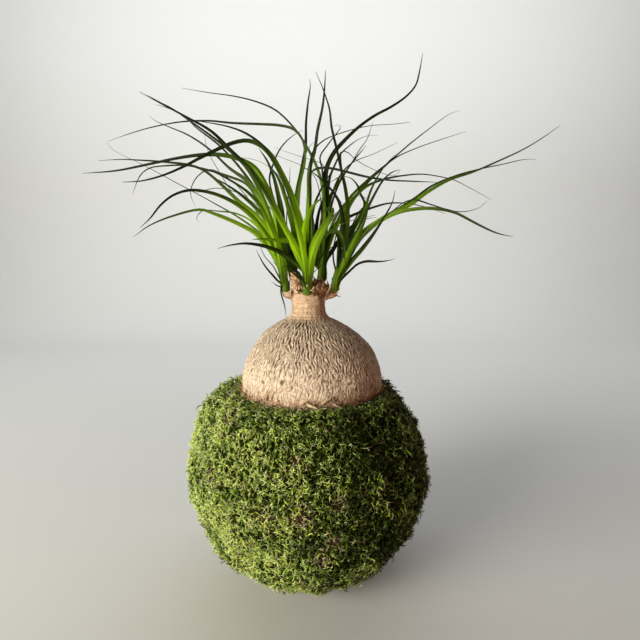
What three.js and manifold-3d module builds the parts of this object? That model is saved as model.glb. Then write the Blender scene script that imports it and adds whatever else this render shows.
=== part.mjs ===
// Ponytail palm planted as a kokedama: a swollen trunk in a ball of soil that a thick coat of moss
// holds together. Millimetres, +Z up. The origin is the middle of the small flat spot that the ball
// rests on, and -Y is the side that faces the viewer.

import * as THREE from 'three';
import { mergeVertices } from 'three/addons/utils/BufferGeometryUtils.js';
import Module from 'manifold-3d';

const wasm = await Module();
wasm.setup();

// Driving sizes
const gap = 0.3;               // clearance between pieces that touch
const fineness = 0.04;         // edges shorter than this are closed up

const ballRadius = 84;         // moss ball, to the middle of its tufts
const ballHeight = 83;         // height of the ball's centre over the table
const mossDetail = 12;         // splits of each edge of the icosahedron that the tufts stand on
const tuftHeight = 2.6;        // how far a tuft stands out of, or lies below, the ball's round
const mossThickness = 11;      // from the soil to the middle of the tufts
const pressed = 1.2;           // what would lie lower than this is pressed flat onto the table
const shoulderDent = 4.5;      // how far the right shoulder of the ball is pressed in
const shoulderReach = 30;      // how wide round its middle
const rimHeight = 138.5;       // top of the moss round the trunk
const rimReach = 62;           // how far from the axis the moss bends over to its flatter top
const rimFall = 0.1;           // slope of that top, down to the trunk
const soilTop = 129;           // the soil is level under the moss's rim
const soilDetail = 5;

const trunkLean = 2.3;         // the bulb's middle stands this far to the right of the neck
const trunkSides = 36;
const barkRelief = 0.3;        // depth of the furrows in the bark
// Outline of the trunk: radius and height, from the underside of the bulb to the top of the neck
const bulb = [
  [18, 97], [31, 100.5], [41, 109], [46.5, 120], [48.6, 131], [49, 143], [47, 154], [43, 163],
  [37.4, 171], [31, 177.2], [24, 182], [18, 185],
];
const neckBottom = 187.2;
const neckTop = 204;
const neckRadius = 11.2;
const ringCount = 6;           // scars of old leaves round the neck
const ringDepth = 0.35;
const crownTop = 208;

const rootCount = 6;           // thick roots under the bulb
const rootLength = 24;
const rootRadius = 3.2;

const bladeThickness = 0.7;
const bladeStep = 19;          // length of one straight stretch of a leaf
const leafFlare = 1.3;         // how late a leaf leaves its shoot's own depth

// Leaf routes are drawn as the plant looks from this eye point, so a route gives the places of a
// leaf in the upright plane through the trunk, and a depth tells how far behind (+) or before (-)
// that plane the leaf really is.
const eye = new THREE.Vector3(8, -334, 228);

function seen(x, z, depth) {
  const stretch = (depth - eye.y) / -eye.y;
  return new THREE.Vector3(eye.x + (x - eye.x) * stretch, depth, eye.z + (z - eye.z) * stretch);
}

// A repeatable draw of numbers from 0 to 1
function draw(seed) {
  let state = seed;
  return () => {
    state = (Math.imul(state, 1664525) + 1013904223) >>> 0;
    return state / 4294967296;
  };
}

// Closed meshes and solids
function welded(geometry) {
  const shape = geometry.clone();
  shape.deleteAttribute('normal');
  shape.deleteAttribute('uv');
  return mergeVertices(shape, 1e-4);
}

function solid(geometry) {
  const shape = welded(geometry);
  const corners = shape.getIndex().array;
  const kept = [];
  for (let i = 0; i < corners.length; i += 3) {
    const [a, b, c] = [corners[i], corners[i + 1], corners[i + 2]];
    if (a !== b && b !== c && c !== a) kept.push(a, b, c);
  }
  const mesh = new wasm.Mesh({
    numProp: 3,
    vertProperties: Float32Array.from(shape.getAttribute('position').array),
    triVerts: Uint32Array.from(kept),
  });
  return new wasm.Manifold(mesh);
}

function geometryOf(body) {
  const mesh = body.getMesh();
  const shape = new THREE.BufferGeometry();
  shape.setAttribute('position', new THREE.BufferAttribute(mesh.vertProperties, 3));
  shape.setIndex(new THREE.BufferAttribute(mesh.triVerts, 1));
  shape.computeVertexNormals();
  return shape;
}

function joined(bodies) {
  return bodies.reduce((whole, body) => whole.add(body));
}

// The largest body that the cuts leave, with its shortest edges closed up and no cavity in it
function mainBody(body) {
  return body.simplify(fineness).decompose().sort((a, b) => b.volume() - a.volume())[0];
}

// A closed skin over rings of points, all with as many points, that run along a path
function skin(rings) {
  const count = rings[0].length;
  const places = rings.flat().flatMap((p) => [p.x, p.y, p.z]);
  const faces = [];
  for (let i = 0; i + 1 < rings.length; i += 1) {
    for (let j = 0; j < count; j += 1) {
      const k = (j + 1) % count;
      const [a, b, c, d] = [i * count + j, i * count + k, (i + 1) * count + k, (i + 1) * count + j];
      faces.push(a, b, c, a, c, d);
    }
  }
  const last = (rings.length - 1) * count;
  for (let j = 1; j + 1 < count; j += 1) {
    faces.push(0, j + 1, j, last, last + j, last + j + 1);
  }
  const shape = new THREE.BufferGeometry();
  shape.setAttribute('position', new THREE.Float32BufferAttribute(places, 3));
  shape.setIndex(faces);
  return shape;
}

// A round stalk along points, with a radius at each
function stalk(points, radii, sides = 8) {
  const rings = points.map((point, i) => {
    const before = points[Math.max(i - 1, 0)];
    const after = points[Math.min(i + 1, points.length - 1)];
    const along = new THREE.Vector3().subVectors(after, before).normalize();
    const turn = new THREE.Quaternion().setFromUnitVectors(new THREE.Vector3(0, 0, 1), along);
    return Array.from({ length: sides }, (_, j) => {
      const angle = (j / sides) * Math.PI * 2;
      const spoke = new THREE.Vector3(Math.cos(angle), Math.sin(angle), 0);
      return spoke.multiplyScalar(radii[i]).applyQuaternion(turn).add(point);
    });
  });
  return solid(skin(rings));
}

// A flat strap leaf along a curve. The strap is level across its heading, turned about its own
// length by the two angles, and it narrows to a fine tip.
function blade(points, width, turns) {
  const curve = new THREE.CatmullRomCurve3(points, false, 'centripetal');
  const steps = Math.max(4, Math.round(curve.getLength() / bladeStep));
  const heading = new THREE.Vector3().subVectors(points[points.length - 1], points[0]).setZ(0);
  const level = new THREE.Vector3(-heading.y, heading.x, 0).normalize();
  const rings = [];
  for (let i = 0; i <= steps; i += 1) {
    const s = i / steps;
    const along = curve.getTangentAt(s);
    const angle = THREE.MathUtils.degToRad(turns[0] + (turns[1] - turns[0]) * s);
    const across = level.clone().addScaledVector(along, -level.dot(along)).normalize();
    across.applyAxisAngle(along, angle);
    const up = new THREE.Vector3().crossVectors(along, across);
    const half = (width / 2) * (0.14 + 0.86 * (1 - s ** 2.2)) * (0.75 + 0.25 * Math.min(1, s / 0.15));
    const centre = curve.getPointAt(s);
    const corner = (side, face) => centre.clone()
      .addScaledVector(across, side * half)
      .addScaledVector(up, (face * bladeThickness) / 2);
    rings.push([corner(1, 1), corner(-1, 1), corner(-1, -1), corner(1, -1)]);
  }
  return solid(skin(rings));
}

// Trunk: bulb, ringed neck, knobs that carry the shoots, a cut stub, dry scales and roots.
// `grown` thickens it all round, for the clearance of what it stands in or carries.
const knobs = [
  { at: [-13.2, -2.5, 203.6], size: [4.6, 4.4, 3.6] },
  { at: [-0.5, -7.2, 203.2], size: [5, 3.8, 3.4] },
  { at: [15, -2.2, 204.5], size: [5.5, 4.4, 3.6] },
  { at: [7, 6.5, 206.5], size: [5.4, 4.6, 6] },
  { at: [-8, 6.5, 205.5], size: [5.2, 4.6, 5] },
];
const cutStub = { from: [-6.4, -2.9, 200.5], to: [-9.4, -3.5, 219.5], radius: 3.4 };
// Dry bases of shed leaves: foot, tip and width
const dryScales = [
  { foot: [6, -8, 202], tip: [6.2, -8.8, 212], wide: 5 },
  { foot: [9.5, -6.5, 203], tip: [10.8, -7.2, 214], wide: 5 },
  { foot: [4.6, -3, 206], tip: [3.6, -3.4, 216], wide: 4.4 },
  { foot: [8, -1, 206], tip: [8.4, -1.2, 217], wide: 5 },
  { foot: [11.5, -6.5, 201.5], tip: [14.6, -9, 208.6], wide: 4 },
  { foot: [13, -1, 203], tip: [12.4, 0.5, 216], wide: 4 },
  { foot: [17.5, -3.5, 202.6], tip: [22.5, -5, 201.4], wide: 2.6 },
  { foot: [-12, 1, 204], tip: [-12.5, 2.5, 216], wide: 4 },
  { foot: [0, 4, 206], tip: [0, 5, 219], wide: 5 },
];

function roots(grown) {
  return Array.from({ length: rootCount }, (_, i) => {
    const angle = ((i + 0.3) / rootCount) * Math.PI * 2;
    const out = (r, z) => new THREE.Vector3(trunkLean + r * Math.cos(angle), r * Math.sin(angle), z);
    const tip = bulb[0][1] - rootLength;
    const path = [out(16, bulb[0][1] + 8), out(21, bulb[0][1] - 6), out(25, tip - grown)];
    return stalk(path, [rootRadius + 0.8, rootRadius, 1.4].map((r) => r + grown), 7);
  });
}

function trunkProfile(grown) {
  const profile = bulb.map(([r, z]) => new THREE.Vector2(r + grown, z));
  profile[0].y -= grown;
  profile.unshift(new THREE.Vector2(0, bulb[0][1] - 1.5 - grown));
  const ringStep = (neckTop - neckBottom) / (ringCount * 2);
  for (let i = 0; i <= ringCount * 2; i += 1) {
    const flare = 2.6 * Math.exp(-i / 1.6);
    const notch = i % 2 ? ringDepth : 0;
    profile.push(new THREE.Vector2(neckRadius + flare - notch + grown, neckBottom + i * ringStep));
  }
  profile.push(new THREE.Vector2(neckRadius - 2 + grown, crownTop - 1));
  profile.push(new THREE.Vector2(0, crownTop + grown));
  return profile;
}

function trunkBody(grown = 0) {
  const shape = welded(new THREE.LatheGeometry(trunkProfile(grown), trunkSides));
  shape.rotateX(Math.PI / 2);
  const place = shape.getAttribute('position');
  const leanTop = 186;
  for (let i = 0; i < place.count; i += 1) {
    const [x, y, z] = [place.getX(i), place.getY(i), place.getZ(i)];
    const radius = Math.hypot(x, y);
    const angle = Math.atan2(y, x);
    // Furrows run up the bulb, so the relief changes round it faster than along it
    const onBulb = THREE.MathUtils.smoothstep(radius, 14, 34);
    const furrow = Math.sin(angle * trunkSides / 2 + Math.sin(z * 0.23) * 1.4) * Math.sin(angle * 9 + z * 0.11);
    const lump = Math.sin(angle * 3 + z * 0.05);
    const out = radius > 0 ? 1 + (barkRelief * onBulb * (furrow + 0.8 * lump)) / radius : 1;
    const lean = trunkLean * (1 - THREE.MathUtils.smoothstep(z, 165, leanTop));
    place.setXYZ(i, x * out + lean, y * out, z);
  }
  const bodies = [solid(shape)];
  for (const knob of knobs) {
    const round = welded(new THREE.IcosahedronGeometry(1, 1));
    round.scale(...knob.size.map((s) => s + grown));
    round.translate(...knob.at);
    bodies.push(solid(round));
  }
  const stubEnds = [new THREE.Vector3(...cutStub.from), new THREE.Vector3(...cutStub.to)];
  stubEnds[1].z += grown;
  bodies.push(stalk(stubEnds, [cutStub.radius + 0.6 + grown, cutStub.radius + grown], 9));
  for (const scale of dryScales) bodies.push(dryScale(scale, grown));
  return joined([...bodies, ...roots(grown)]);
}

// One dry scale: a pointed husk, curved round the trunk, thick at its foot
function dryScale({ foot, tip, wide }, grown) {
  const from = new THREE.Vector3(...foot);
  const to = new THREE.Vector3(...tip);
  const outward = new THREE.Vector3(from.x, from.y, 0).normalize();
  const along = new THREE.Vector3().subVectors(to, from).normalize();
  const across = new THREE.Vector3().crossVectors(along, outward).normalize();
  const depth = new THREE.Vector3().crossVectors(across, along).normalize();
  const shares = [0, 0.35, 0.7, 1];
  const widths = [0.8, 1, 0.7, 0.18];
  const thicks = [1.4, 1.1, 0.8, 0.6];
  const rings = shares.map((share, i) => {
    const centre = from.clone().lerp(to, share).addScaledVector(along, share * grown);
    const half = (wide * widths[i]) / 2 + grown;
    const thick = thicks[i] / 2 + grown;
    const point = (u, v) => centre.clone().addScaledVector(across, u).addScaledVector(depth, v);
    const cup = 0.18 * half;
    return [point(half, thick - cup), point(0, thick + cup), point(-half, thick - cup),
      point(-half, -thick - cup), point(0, cup - thick), point(half, -thick - cup)];
  });
  return solid(skin(rings));
}

function icosphere(radius, detail) {
  const ball = welded(new THREE.IcosahedronGeometry(radius, detail));
  ball.translate(0, 0, ballHeight);
  return ball;
}

function boxBody(width, height, z) {
  const box = new THREE.BoxGeometry(width, width, height);
  box.translate(0, 0, z);
  return solid(box);
}

// Soil: a ball inside the moss with a level top, or the room for it when it is grown
function soilBody(grown = 0) {
  const ball = solid(icosphere(ballRadius - mossThickness - gap + grown, soilDetail));
  return ball.subtract(boxBody(ballRadius * 2, ballRadius, soilTop + grown + ballRadius / 2));
}

// Moss: a shell over the soil, tufted all over, open round the trunk and flat where it rests
function mossBall() {
  const shape = icosphere(ballRadius, mossDetail);
  const place = shape.getAttribute('position');
  const next = draw(5021);
  const middle = new THREE.Vector3(0, 0, ballHeight);
  const point = new THREE.Vector3();
  // The right shoulder of the ball is pressed in
  const shoulder = new THREE.Vector3(0.82, 0, 0.58).setLength(ballRadius);
  for (let i = 0; i < place.count; i += 1) {
    point.fromBufferAttribute(place, i).sub(middle);
    const tuft = tuftHeight * (next() - 0.5) * 2 + 0.9 * Math.sin(point.x * 0.11) * Math.cos(point.y * 0.13);
    const pressedIn = shoulderDent * Math.exp(-((point.distanceTo(shoulder) / shoulderReach) ** 2));
    point.setLength(ballRadius + tuft - pressedIn).add(middle);
    const reach = Math.hypot(point.x, point.y);
    const top = rimHeight - rimFall * Math.max(0, rimReach - reach) + 0.45 * tuft;
    point.z = point.z < pressed ? 0 : Math.min(point.z, top);
    place.setXYZ(i, point.x, point.y, point.z);
  }
  return solid(shape);
}

// Shoots: the places of each shoot's foot, its stalk, and its leaves.
// leaf(width, depth of the tip, [turn at the foot, turn at the tip], ...route as seen)
function leaf(wide, depth, turns, ...route) {
  return { wide, depth, turns, route };
}

const shoots = {
  shoot_left: {
    foot: [-15.6, -3, 206],
    stalk: [[-15.8, 209], [-16.6, 217], [-18.2, 226]],
    radii: [2.9, 2.8, 2.6, 1.6],
    leaves: [
      leaf(4.2, -28, [75, 40], [-19.9, 221], [-25.7, 233], [-36.5, 245], [-50, 252.4], [-64.9, 258.4],
        [-73, 260.8], [-90.8, 257], [-107.8, 250.5], [-120, 242.5]),
      leaf(3.4, 34, [75, 20], [-19, 218], [-28, 240], [-39, 253], [-49.4, 258.2], [-60.2, 259.6],
        [-72, 260], [-76.2, 255], [-74.7, 252.7]),
      leaf(4.4, -58, [70, 55], [-19, 219], [-27, 240], [-36, 253.5], [-46.8, 263.3], [-57, 268.9],
        [-67.5, 272.4], [-80, 273.7], [-91, 270.6], [-100, 264.1], [-107.9, 254.9], [-114.8, 248.8]),
      leaf(3.8, 48, [80, 20], [-20, 228.4], [-24.8, 248], [-33, 264], [-42.3, 277.7], [-52, 282.1],
        [-67, 286.8], [-81.5, 289.8], [-95, 289.7], [-107, 288], [-113, 283.5], [-119, 271.3]),
      leaf(4, -14, [75, 25], [-21.4, 230.6], [-27.7, 246.6], [-36.7, 257.8], [-47, 266], [-60, 278.5],
        [-70, 286.5], [-79.6, 290.1], [-95, 292], [-110, 293.1], [-125, 293.8], [-140.6, 293.1]),
      leaf(3, 76, [60, 0], [-20, 224], [-27, 239], [-38.6, 249], [-49, 256.3], [-68.5, 267.6],
        [-91.8, 280.1], [-111.8, 290.8], [-124, 296.5], [-131, 300.5], [-134.5, 304.8]),
      leaf(4.6, 16, [80, 40], [-19.5, 222], [-24, 246], [-30.6, 264.5], [-40.3, 278.8], [-53, 288.1],
        [-66.4, 300.5], [-80.5, 309.7], [-93.8, 315.2], [-102.4, 319.2], [-105, 321.8]),
      leaf(4.4, 30, [80, 30], [-18.5, 219], [-22, 235], [-27.5, 254], [-35, 272], [-46, 288.3],
        [-60, 303.2], [-75, 314.6], [-82, 321.5], [-91, 326], [-100.5, 329]),
      leaf(4.2, -30, [80, 30], [-18, 220], [-22.5, 241], [-28.5, 262.5], [-36.8, 281], [-44.8, 292.1],
        [-60, 305.4], [-80, 319.5], [-89, 325.8], [-98, 330.5], [-106, 335]),
      leaf(4.8, -4, [85, 60], [-18, 222], [-20.2, 242], [-23.5, 263], [-29, 277], [-36, 288.5],
        [-46, 294], [-57.8, 296.8], [-71.5, 296.8], [-88, 294.6], [-105.7, 291], [-129.4, 286.5],
        [-152, 284.8]),
      leaf(2.6, 62, [60, 0], [-21, 226], [-27, 241], [-33, 250], [-42, 260], [-49, 268], [-56.4, 279.8],
        [-61.5, 288.5], [-65.2, 295.1], [-68.1, 303.1], [-69, 309.7]),
      leaf(3, 88, [60, 10], [-20, 224], [-27, 243], [-40, 267], [-53, 281], [-66, 287.2], [-74.5, 282.8],
        [-79.3, 274.4], [-79.2, 269], [-76.6, 263.2]),
      leaf(4.4, -70, [80, 50], [-18.5, 220], [-22, 238], [-27.6, 252.1], [-33.1, 263.7], [-40.3, 271.8],
        [-47.9, 277.3], [-55.2, 281.5], [-63.8, 285.6], [-70, 286.6]),
      leaf(1.8, -6, [40, 0], [-17.4, 211], [-20, 214], [-24.2, 222.3], [-30.4, 229.8], [-33.4, 238],
        [-33.8, 241]),
      leaf(1.6, -34, [40, 0], [-17, 209.6], [-20.4, 211.6], [-24.2, 215.7], [-30, 222.7], [-34.4, 230.6],
        [-35.9, 234]),
      leaf(1.5, -12, [30, 0], [-17.4, 208.6], [-20.5, 208.5], [-22.5, 209.5], [-25.6, 212.4]),
      leaf(1.8, 18, [30, 0], [-18.6, 216], [-21, 221.5], [-25, 226.7]),
      leaf(2, -12, [80, 90], [-18.4, 209.5], [-19, 206], [-18.4, 202], [-16.6, 196], [-15.8, 187]),
      leaf(4.4, -60, [70, 40], [-16.4, 215.7], [-18.7, 229.4], [-22.7, 241.9], [-29.4, 254.4],
        [-37.9, 263.9], [-47.9, 272.4], [-56.4, 278], [-64, 282.2]),
      leaf(3.6, 104, [20, 10], [-16.5, 216], [-17.5, 232], [-20, 250], [-24, 264], [-29, 271], [-35, 272]),
    ],
  },
  shoot_front: {
    foot: [-0.5, -9.5, 205],
    stalk: [[-0.4, 208], [-0.6, 215], [-0.6, 223]],
    radii: [3.8, 3.6, 3.2, 2],
    leaves: [
      leaf(5.2, -42, [85, 65], [-1.2, 216], [-2.2, 230], [-4.4, 246], [-8.3, 260.6], [-13, 273.5],
        [-18.3, 284.8], [-24.4, 295.7], [-32, 303], [-40.5, 306], [-50, 304.5], [-60, 300.6],
        [-72.3, 294.8], [-85, 288.5], [-98.8, 283.1], [-112.6, 279.8], [-125.7, 279]),
      leaf(4.2, -62, [80, 20], [-1, 217], [-3, 234], [-6.8, 254], [-12, 270.5], [-17.5, 282], [-24.6, 294.6],
        [-29.6, 302], [-36.2, 307.4], [-44.4, 312], [-54.6, 315.3], [-64.8, 317.2], [-74, 318.6]),
      leaf(4.6, -84, [80, 30], [-1.7, 213.7], [-5.6, 224.3], [-13.4, 242.4], [-22, 261.4], [-29, 273.5],
        [-38, 286.5], [-51.7, 299.6], [-64.5, 311.9], [-80, 320.6], [-100, 331], [-111, 337]),
      leaf(3.4, -34, [70, 50], [-0.1, 215.2], [-3.7, 220.1], [-12.5, 227.5], [-21.2, 233], [-29.9, 236.1],
        [-43, 238], [-52.7, 237], [-62.5, 234.7]),
      leaf(3.8, -72, [80, 75], [-0.7, 216], [-0.8, 227.4], [-1, 235.2], [-1.8, 238.3],
        [-5.7, 239.1], [-13.5, 239.8], [-23.2, 240.6], [-32, 241.2], [-38.8, 240.8]),
      leaf(5.6, -46, [12, 12], [-0.6, 219], [-0.8, 236], [-0.4, 252], [0.6, 270], [0.9, 287.6],
        [4.4, 300], [6.1, 311.9], [9.5, 327.1], [11, 340], [11.6, 350.5]),
      leaf(3.2, -96, [60, 0], [1.2, 219], [1.5, 240], [1.6, 262], [1.8, 282], [3.4, 298.5], [10.3, 305.9],
        [19.7, 310], [30.6, 313.3], [42.3, 315.7], [54.5, 316.4], [67.6, 317.8]),
      leaf(5, -50, [20, 30], [-2.4, 217], [-3.9, 235.2], [-3.5, 244.8], [-1.2, 254.4], [1.7, 261],
        [6, 266.2], [10.7, 269.1]),
      leaf(5.6, -58, [15, 0], [0.1, 219], [1.4, 230], [5.6, 241.9], [11, 250.6], [16.4, 258.2],
        [16.6, 261.8], [13.2, 261.8], [9.6, 259.1]),
      leaf(4.4, -30, [50, 60], [1.8, 217], [4.6, 228], [8.6, 238.6], [14.9, 245.6], [18.6, 246.5],
        [21.6, 243.9], [23.6, 238.6], [24.9, 231], [25.4, 224]),
      leaf(3.6, -56, [60, 70], [1.2, 218], [2.6, 240], [1.6, 262], [0.6, 277], [1.6, 284.6], [6, 287.8],
        [15, 288], [26.7, 285.5], [40.3, 282.3], [54.7, 280.3], [70, 279.6], [87, 279]),
      leaf(2.6, -80, [50, 0], [2.2, 216], [5.4, 231], [10.6, 243.4], [17.3, 248.3], [28.7, 253.3],
        [37, 255.5], [45.5, 257.2]),
      leaf(2.4, -26, [40, 0], [-3.9, 213], [-6.5, 216.5], [-11, 220.6], [-15.4, 222.6], [-19, 222]),
      leaf(2.2, -40, [40, 0], [-3.4, 211.5], [-6.5, 214.6], [-12, 218.6], [-16, 220.6]),
      leaf(4.6, -76, [55, 30], [-2.6, 219], [-5.5, 228.4], [-10.6, 238.1], [-16.3, 248.7],
        [-23, 261], [-30.5, 274.2], [-36.1, 282.6], [-40.8, 290.1]),
      leaf(5, -66, [25, 10], [0.8, 216], [1.9, 226], [5.2, 237], [10.2, 246.6], [15.4, 254.2],
        [19.4, 259.4]),
      leaf(4.4, -70, [30, 20], [-1.6, 216], [-3, 228], [-5.4, 241], [-8.6, 255], [-12.8, 269],
        [-17.6, 281]),
    ],
  },
  shoot_right: {
    foot: [18.2, -3.2, 207],
    stalk: [[18.6, 210], [19.6, 217], [21, 226]],
    radii: [3.2, 3.4, 3, 1.8],
    leaves: [
      leaf(4.4, -20, [80, 70], [22.5, 222], [26, 236], [27.7, 253.7], [26.2, 269.8], [23, 285], [18.8, 302.6],
        [15.8, 315], [14.5, 325.8], [11.6, 334.8], [9.1, 341.2], [5.1, 349.6]),
      leaf(4.4, -36, [80, 75], [23.5, 224], [29.8, 239.7], [35.6, 248.7], [39.9, 259.9], [45.3, 271],
        [50, 279.2], [54.6, 284.2], [58.6, 286.4], [61.8, 287.3]),
      leaf(3.2, 22, [75, 30], [22.4, 222], [25.6, 240], [27, 258], [25.6, 274], [22, 290], [22.4, 299],
        [26.6, 298.3], [31.6, 294], [39.4, 289.5], [50.5, 284.7], [58.7, 283.4], [62.2, 287]),
      leaf(5, -22, [75, 30], [21.6, 214.2], [26.8, 226.3], [32.5, 237.4], [41.3, 247.2], [51.5, 255],
        [61.8, 260.1], [71.2, 265.2], [80.6, 272.3], [95, 280.3], [110.6, 285.4], [125.4, 291.6],
        [144.2, 300.3], [157, 308], [168, 315.8]),
      leaf(4, 2, [75, 30], [22.6, 218], [29, 231], [37.5, 243.6], [50, 254.2], [62, 261.4], [72.8, 268.6],
        [82.9, 276.1], [100.4, 283.4], [116, 287.6], [131, 290.7], [145.8, 293.9], [153, 293.9]),
      leaf(5, -52, [75, 40], [22.4, 216], [30.3, 233.2], [37.7, 245.2], [49.4, 253.5], [60.6, 258.8],
        [74.5, 261.4], [88, 261.4], [100, 258.8], [110, 254], [119.5, 249.2], [129.8, 244.9], [140, 242.8]),
      leaf(3.4, -84, [70, 10], [22.6, 217], [31, 234], [42, 247.6], [57.4, 259.9], [65.1, 265.7], [72, 267.2],
        [84.3, 263.8], [98.8, 259.7], [108, 259.7], [116.5, 262.4], [121.2, 266.8]),
      leaf(4.6, -70, [80, 85], [23.2, 215.3], [30.1, 225.3], [37.8, 234.7], [45.5, 245.1], [52.3, 256],
        [57, 265], [58.8, 273.6]),
      leaf(3, -24, [60, 30], [21.4, 211], [28.8, 218.9], [34.7, 224.2], [40.4, 225.8], [48, 225.6],
        [56.2, 226.6], [59.4, 227.9]),
      leaf(4, 16, [70, 20], [21, 220], [23, 245], [28, 263], [38, 275], [50.4, 280.5], [66, 283.4],
        [77.2, 284.1], [88.4, 282.6], [98.8, 280.2], [109.7, 275], [124.2, 267.5]),
      leaf(3.8, 24, [80, 40], [21.6, 222], [27, 240], [34, 254], [38.4, 264.6], [35.4, 271], [32.9, 277.4],
        [28.2, 281.9], [22, 282.6], [14.3, 278.6]),
      leaf(3.2, -6, [80, 50], [22, 221], [25.4, 237], [24.3, 249], [21.2, 265.2], [16.6, 272.8],
        [9.6, 280.1], [2.6, 285.7], [-2, 288.5]),
      leaf(3.4, 3, [80, 40], [20, 220], [21, 233], [18.9, 246], [16, 254.5], [12.8, 261], [10.4, 265]),
      leaf(3.8, -64, [60, 40], [19.8, 213], [23.7, 221.6], [27.5, 231.3], [32.4, 241],
        [37.1, 250.6], [39.9, 259.1], [41, 264.8]),
      leaf(3.6, 18, [60, 20], [22.4, 222], [31, 240], [37.4, 255], [41.5, 270.6], [45.8, 280.5], [52, 290],
        [59, 297.6]),
      leaf(3.4, 100, [20, 0], [20.4, 218], [25, 236], [31, 252], [37, 262], [44, 264]),
    ],
  },
  shoot_back_right: {
    foot: [8.6, 8.5, 212],
    stalk: [[9, 217], [9.6, 224], [10, 231]],
    radii: [3.2, 3.2, 2.8, 1.6],
    leaves: [
      leaf(4.8, 30, [85, 60], [9.6, 232], [10.6, 250], [11.6, 270], [12.3, 287], [17, 297.6], [24.7, 306.3],
        [34.5, 315.2], [45.2, 322.4], [54.3, 327], [65.2, 334.3], [71.2, 341.4], [73.4, 350.2], [75.2, 361.2]),
      leaf(3.4, 16, [60, 20], [9.2, 230], [10, 246], [10.4, 264], [8.5, 279.7], [5, 290.3], [1, 298.5],
        [-5.1, 308.5], [-13.6, 318.7], [-22.2, 325.8], [-34.8, 330.9], [-49.5, 334.3], [-64, 336.2],
        [-83.3, 339.4]),
      leaf(3, 60, [60, 10], [9.4, 230], [9.8, 252], [10.4, 272], [9.4, 287.6], [8, 295.5], [13, 303],
        [18.5, 310], [21.8, 314.8], [20, 316.2], [17, 315.4]),
      leaf(3.4, 80, [60, 10], [10.2, 232], [12.4, 258], [14.6, 282], [17.7, 289.5], [21.6, 297], [27.4, 302.4],
        [34.3, 307.1], [41, 309.4], [46.7, 309.4]),
      leaf(3.6, 44, [75, 30], [11, 228], [14, 240], [18.9, 250.4], [26.6, 255.2], [35.6, 259.1], [45.3, 262.6],
        [55.1, 265], [68.2, 264.8], [81.3, 262], [93.9, 258.1]),
      leaf(2.2, 100, [50, 0], [9, 232], [11, 256], [13, 276], [10.4, 290], [2.6, 293.5], [-4.3, 295.5],
        [-14.5, 298.8], [-23.2, 301.7]),
      leaf(3, 72, [50, 20], [8.6, 230], [9, 250], [8, 270], [4, 283], [-5.6, 290.3], [-14.7, 294], [-24, 297.5]),
      leaf(3.4, 22, [80, 70], [9.8, 230], [11.1, 248], [13, 265.2], [17.2, 273.6], [21.8, 280.8], [29.6, 291.8],
        [38.9, 302.8]),
      leaf(2.6, 52, [60, 10], [10, 228], [12.5, 250], [16, 270], [22, 284], [29.6, 291.6], [43.9, 297.4],
        [54.2, 302.2], [59.9, 305]),
      leaf(2, 90, [60, 10], [10.4, 230], [14, 256], [20, 276], [29, 291], [34.4, 300], [39.3, 306.7],
        [42.1, 314.5], [43.7, 319.4]),
      leaf(3.6, 58, [75, 20], [11.2, 228], [15.7, 244], [23.9, 259.1], [32.5, 270.2], [41.8, 280.6],
        [54.4, 292], [67.1, 303], [79.6, 312.7], [89.4, 320], [94.2, 323.1], [100.6, 325.3]),
      leaf(3.2, 44, [75, 20], [11.6, 226], [18, 247], [27.5, 267.5], [39.2, 279.4], [50.1, 288.6], [59.7, 295.4],
        [73.9, 301.6], [86.5, 305.9], [105.6, 312]),
      leaf(3.2, 34, [70, 20], [11.8, 226], [16.4, 233], [21.6, 241], [29, 249], [38, 254], [47, 256]),
      leaf(4.4, 112, [15, 0], [8.6, 226], [8, 242], [9.6, 256], [13, 266], [18, 269], [23.4, 265]),
      leaf(4.2, 124, [15, 0], [7.4, 226], [5, 240], [3.4, 252], [1.4, 262], [-1.6, 268]),
      leaf(3.8, 96, [15, 0], [10, 228], [14, 244], [20, 258], [27, 267], [35, 270], [43, 266]),
      leaf(3.6, 128, [10, 0], [9.4, 226], [12, 238], [16.5, 247], [22.5, 249.4], [28, 244]),
    ],
  },
  shoot_back_left: {
    foot: [-9.4, 8.5, 209.5],
    stalk: [[-9.8, 214], [-10.4, 221], [-11, 228]],
    radii: [3, 3, 2.6, 1.6],
    leaves: [
      leaf(5, 34, [85, 80], [-9.8, 236], [-8.6, 254], [-7.2, 273], [-3.8, 289.5], [-1.6, 302], [-1.2, 318],
        [0.2, 331], [1.7, 341.5], [1.1, 345]),
      leaf(3.6, 58, [70, 20], [-9.2, 234], [-8, 254], [-6.4, 276], [-2.4, 295], [-4.6, 307.6], [-10.6, 313.6],
        [-20, 315.8], [-29, 316.4], [-50, 317.2], [-66, 318.6], [-84, 318], [-105, 314.3], [-125, 308.5],
        [-134, 305.4]),
      leaf(3.2, 48, [70, 30], [-12, 232], [-17, 250], [-23.4, 268], [-26.2, 281], [-23.6, 290.6], [-18.7, 300.7],
        [-11.6, 308.1], [-3.6, 312.8]),
      leaf(2, 86, [50, 0], [-10.6, 230], [-12, 250], [-15.4, 272], [-19.2, 282.3], [-25.5, 288.5],
        [-34, 293.1], [-45, 295.1], [-56, 295]),
      leaf(4, 22, [85, 85], [-12.2, 232], [-14.8, 250], [-14, 268], [-12.6, 280], [-12, 289.5]),
      leaf(3.2, 30, [80, 80], [-9.4, 234], [-7.6, 256], [-5, 280], [-2, 296], [0.6, 301.6], [3.4, 304.9]),
      leaf(4.4, 112, [15, 0], [-11, 226], [-13.6, 242], [-17.4, 256], [-22, 264], [-27.4, 266]),
      leaf(4.2, 126, [15, 0], [-9.8, 226], [-8.4, 240], [-8.6, 253], [-11, 261], [-15, 262]),
      leaf(3.8, 92, [15, 0], [-11.6, 228], [-17, 246], [-26, 262], [-37, 270], [-48, 270]),
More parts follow.
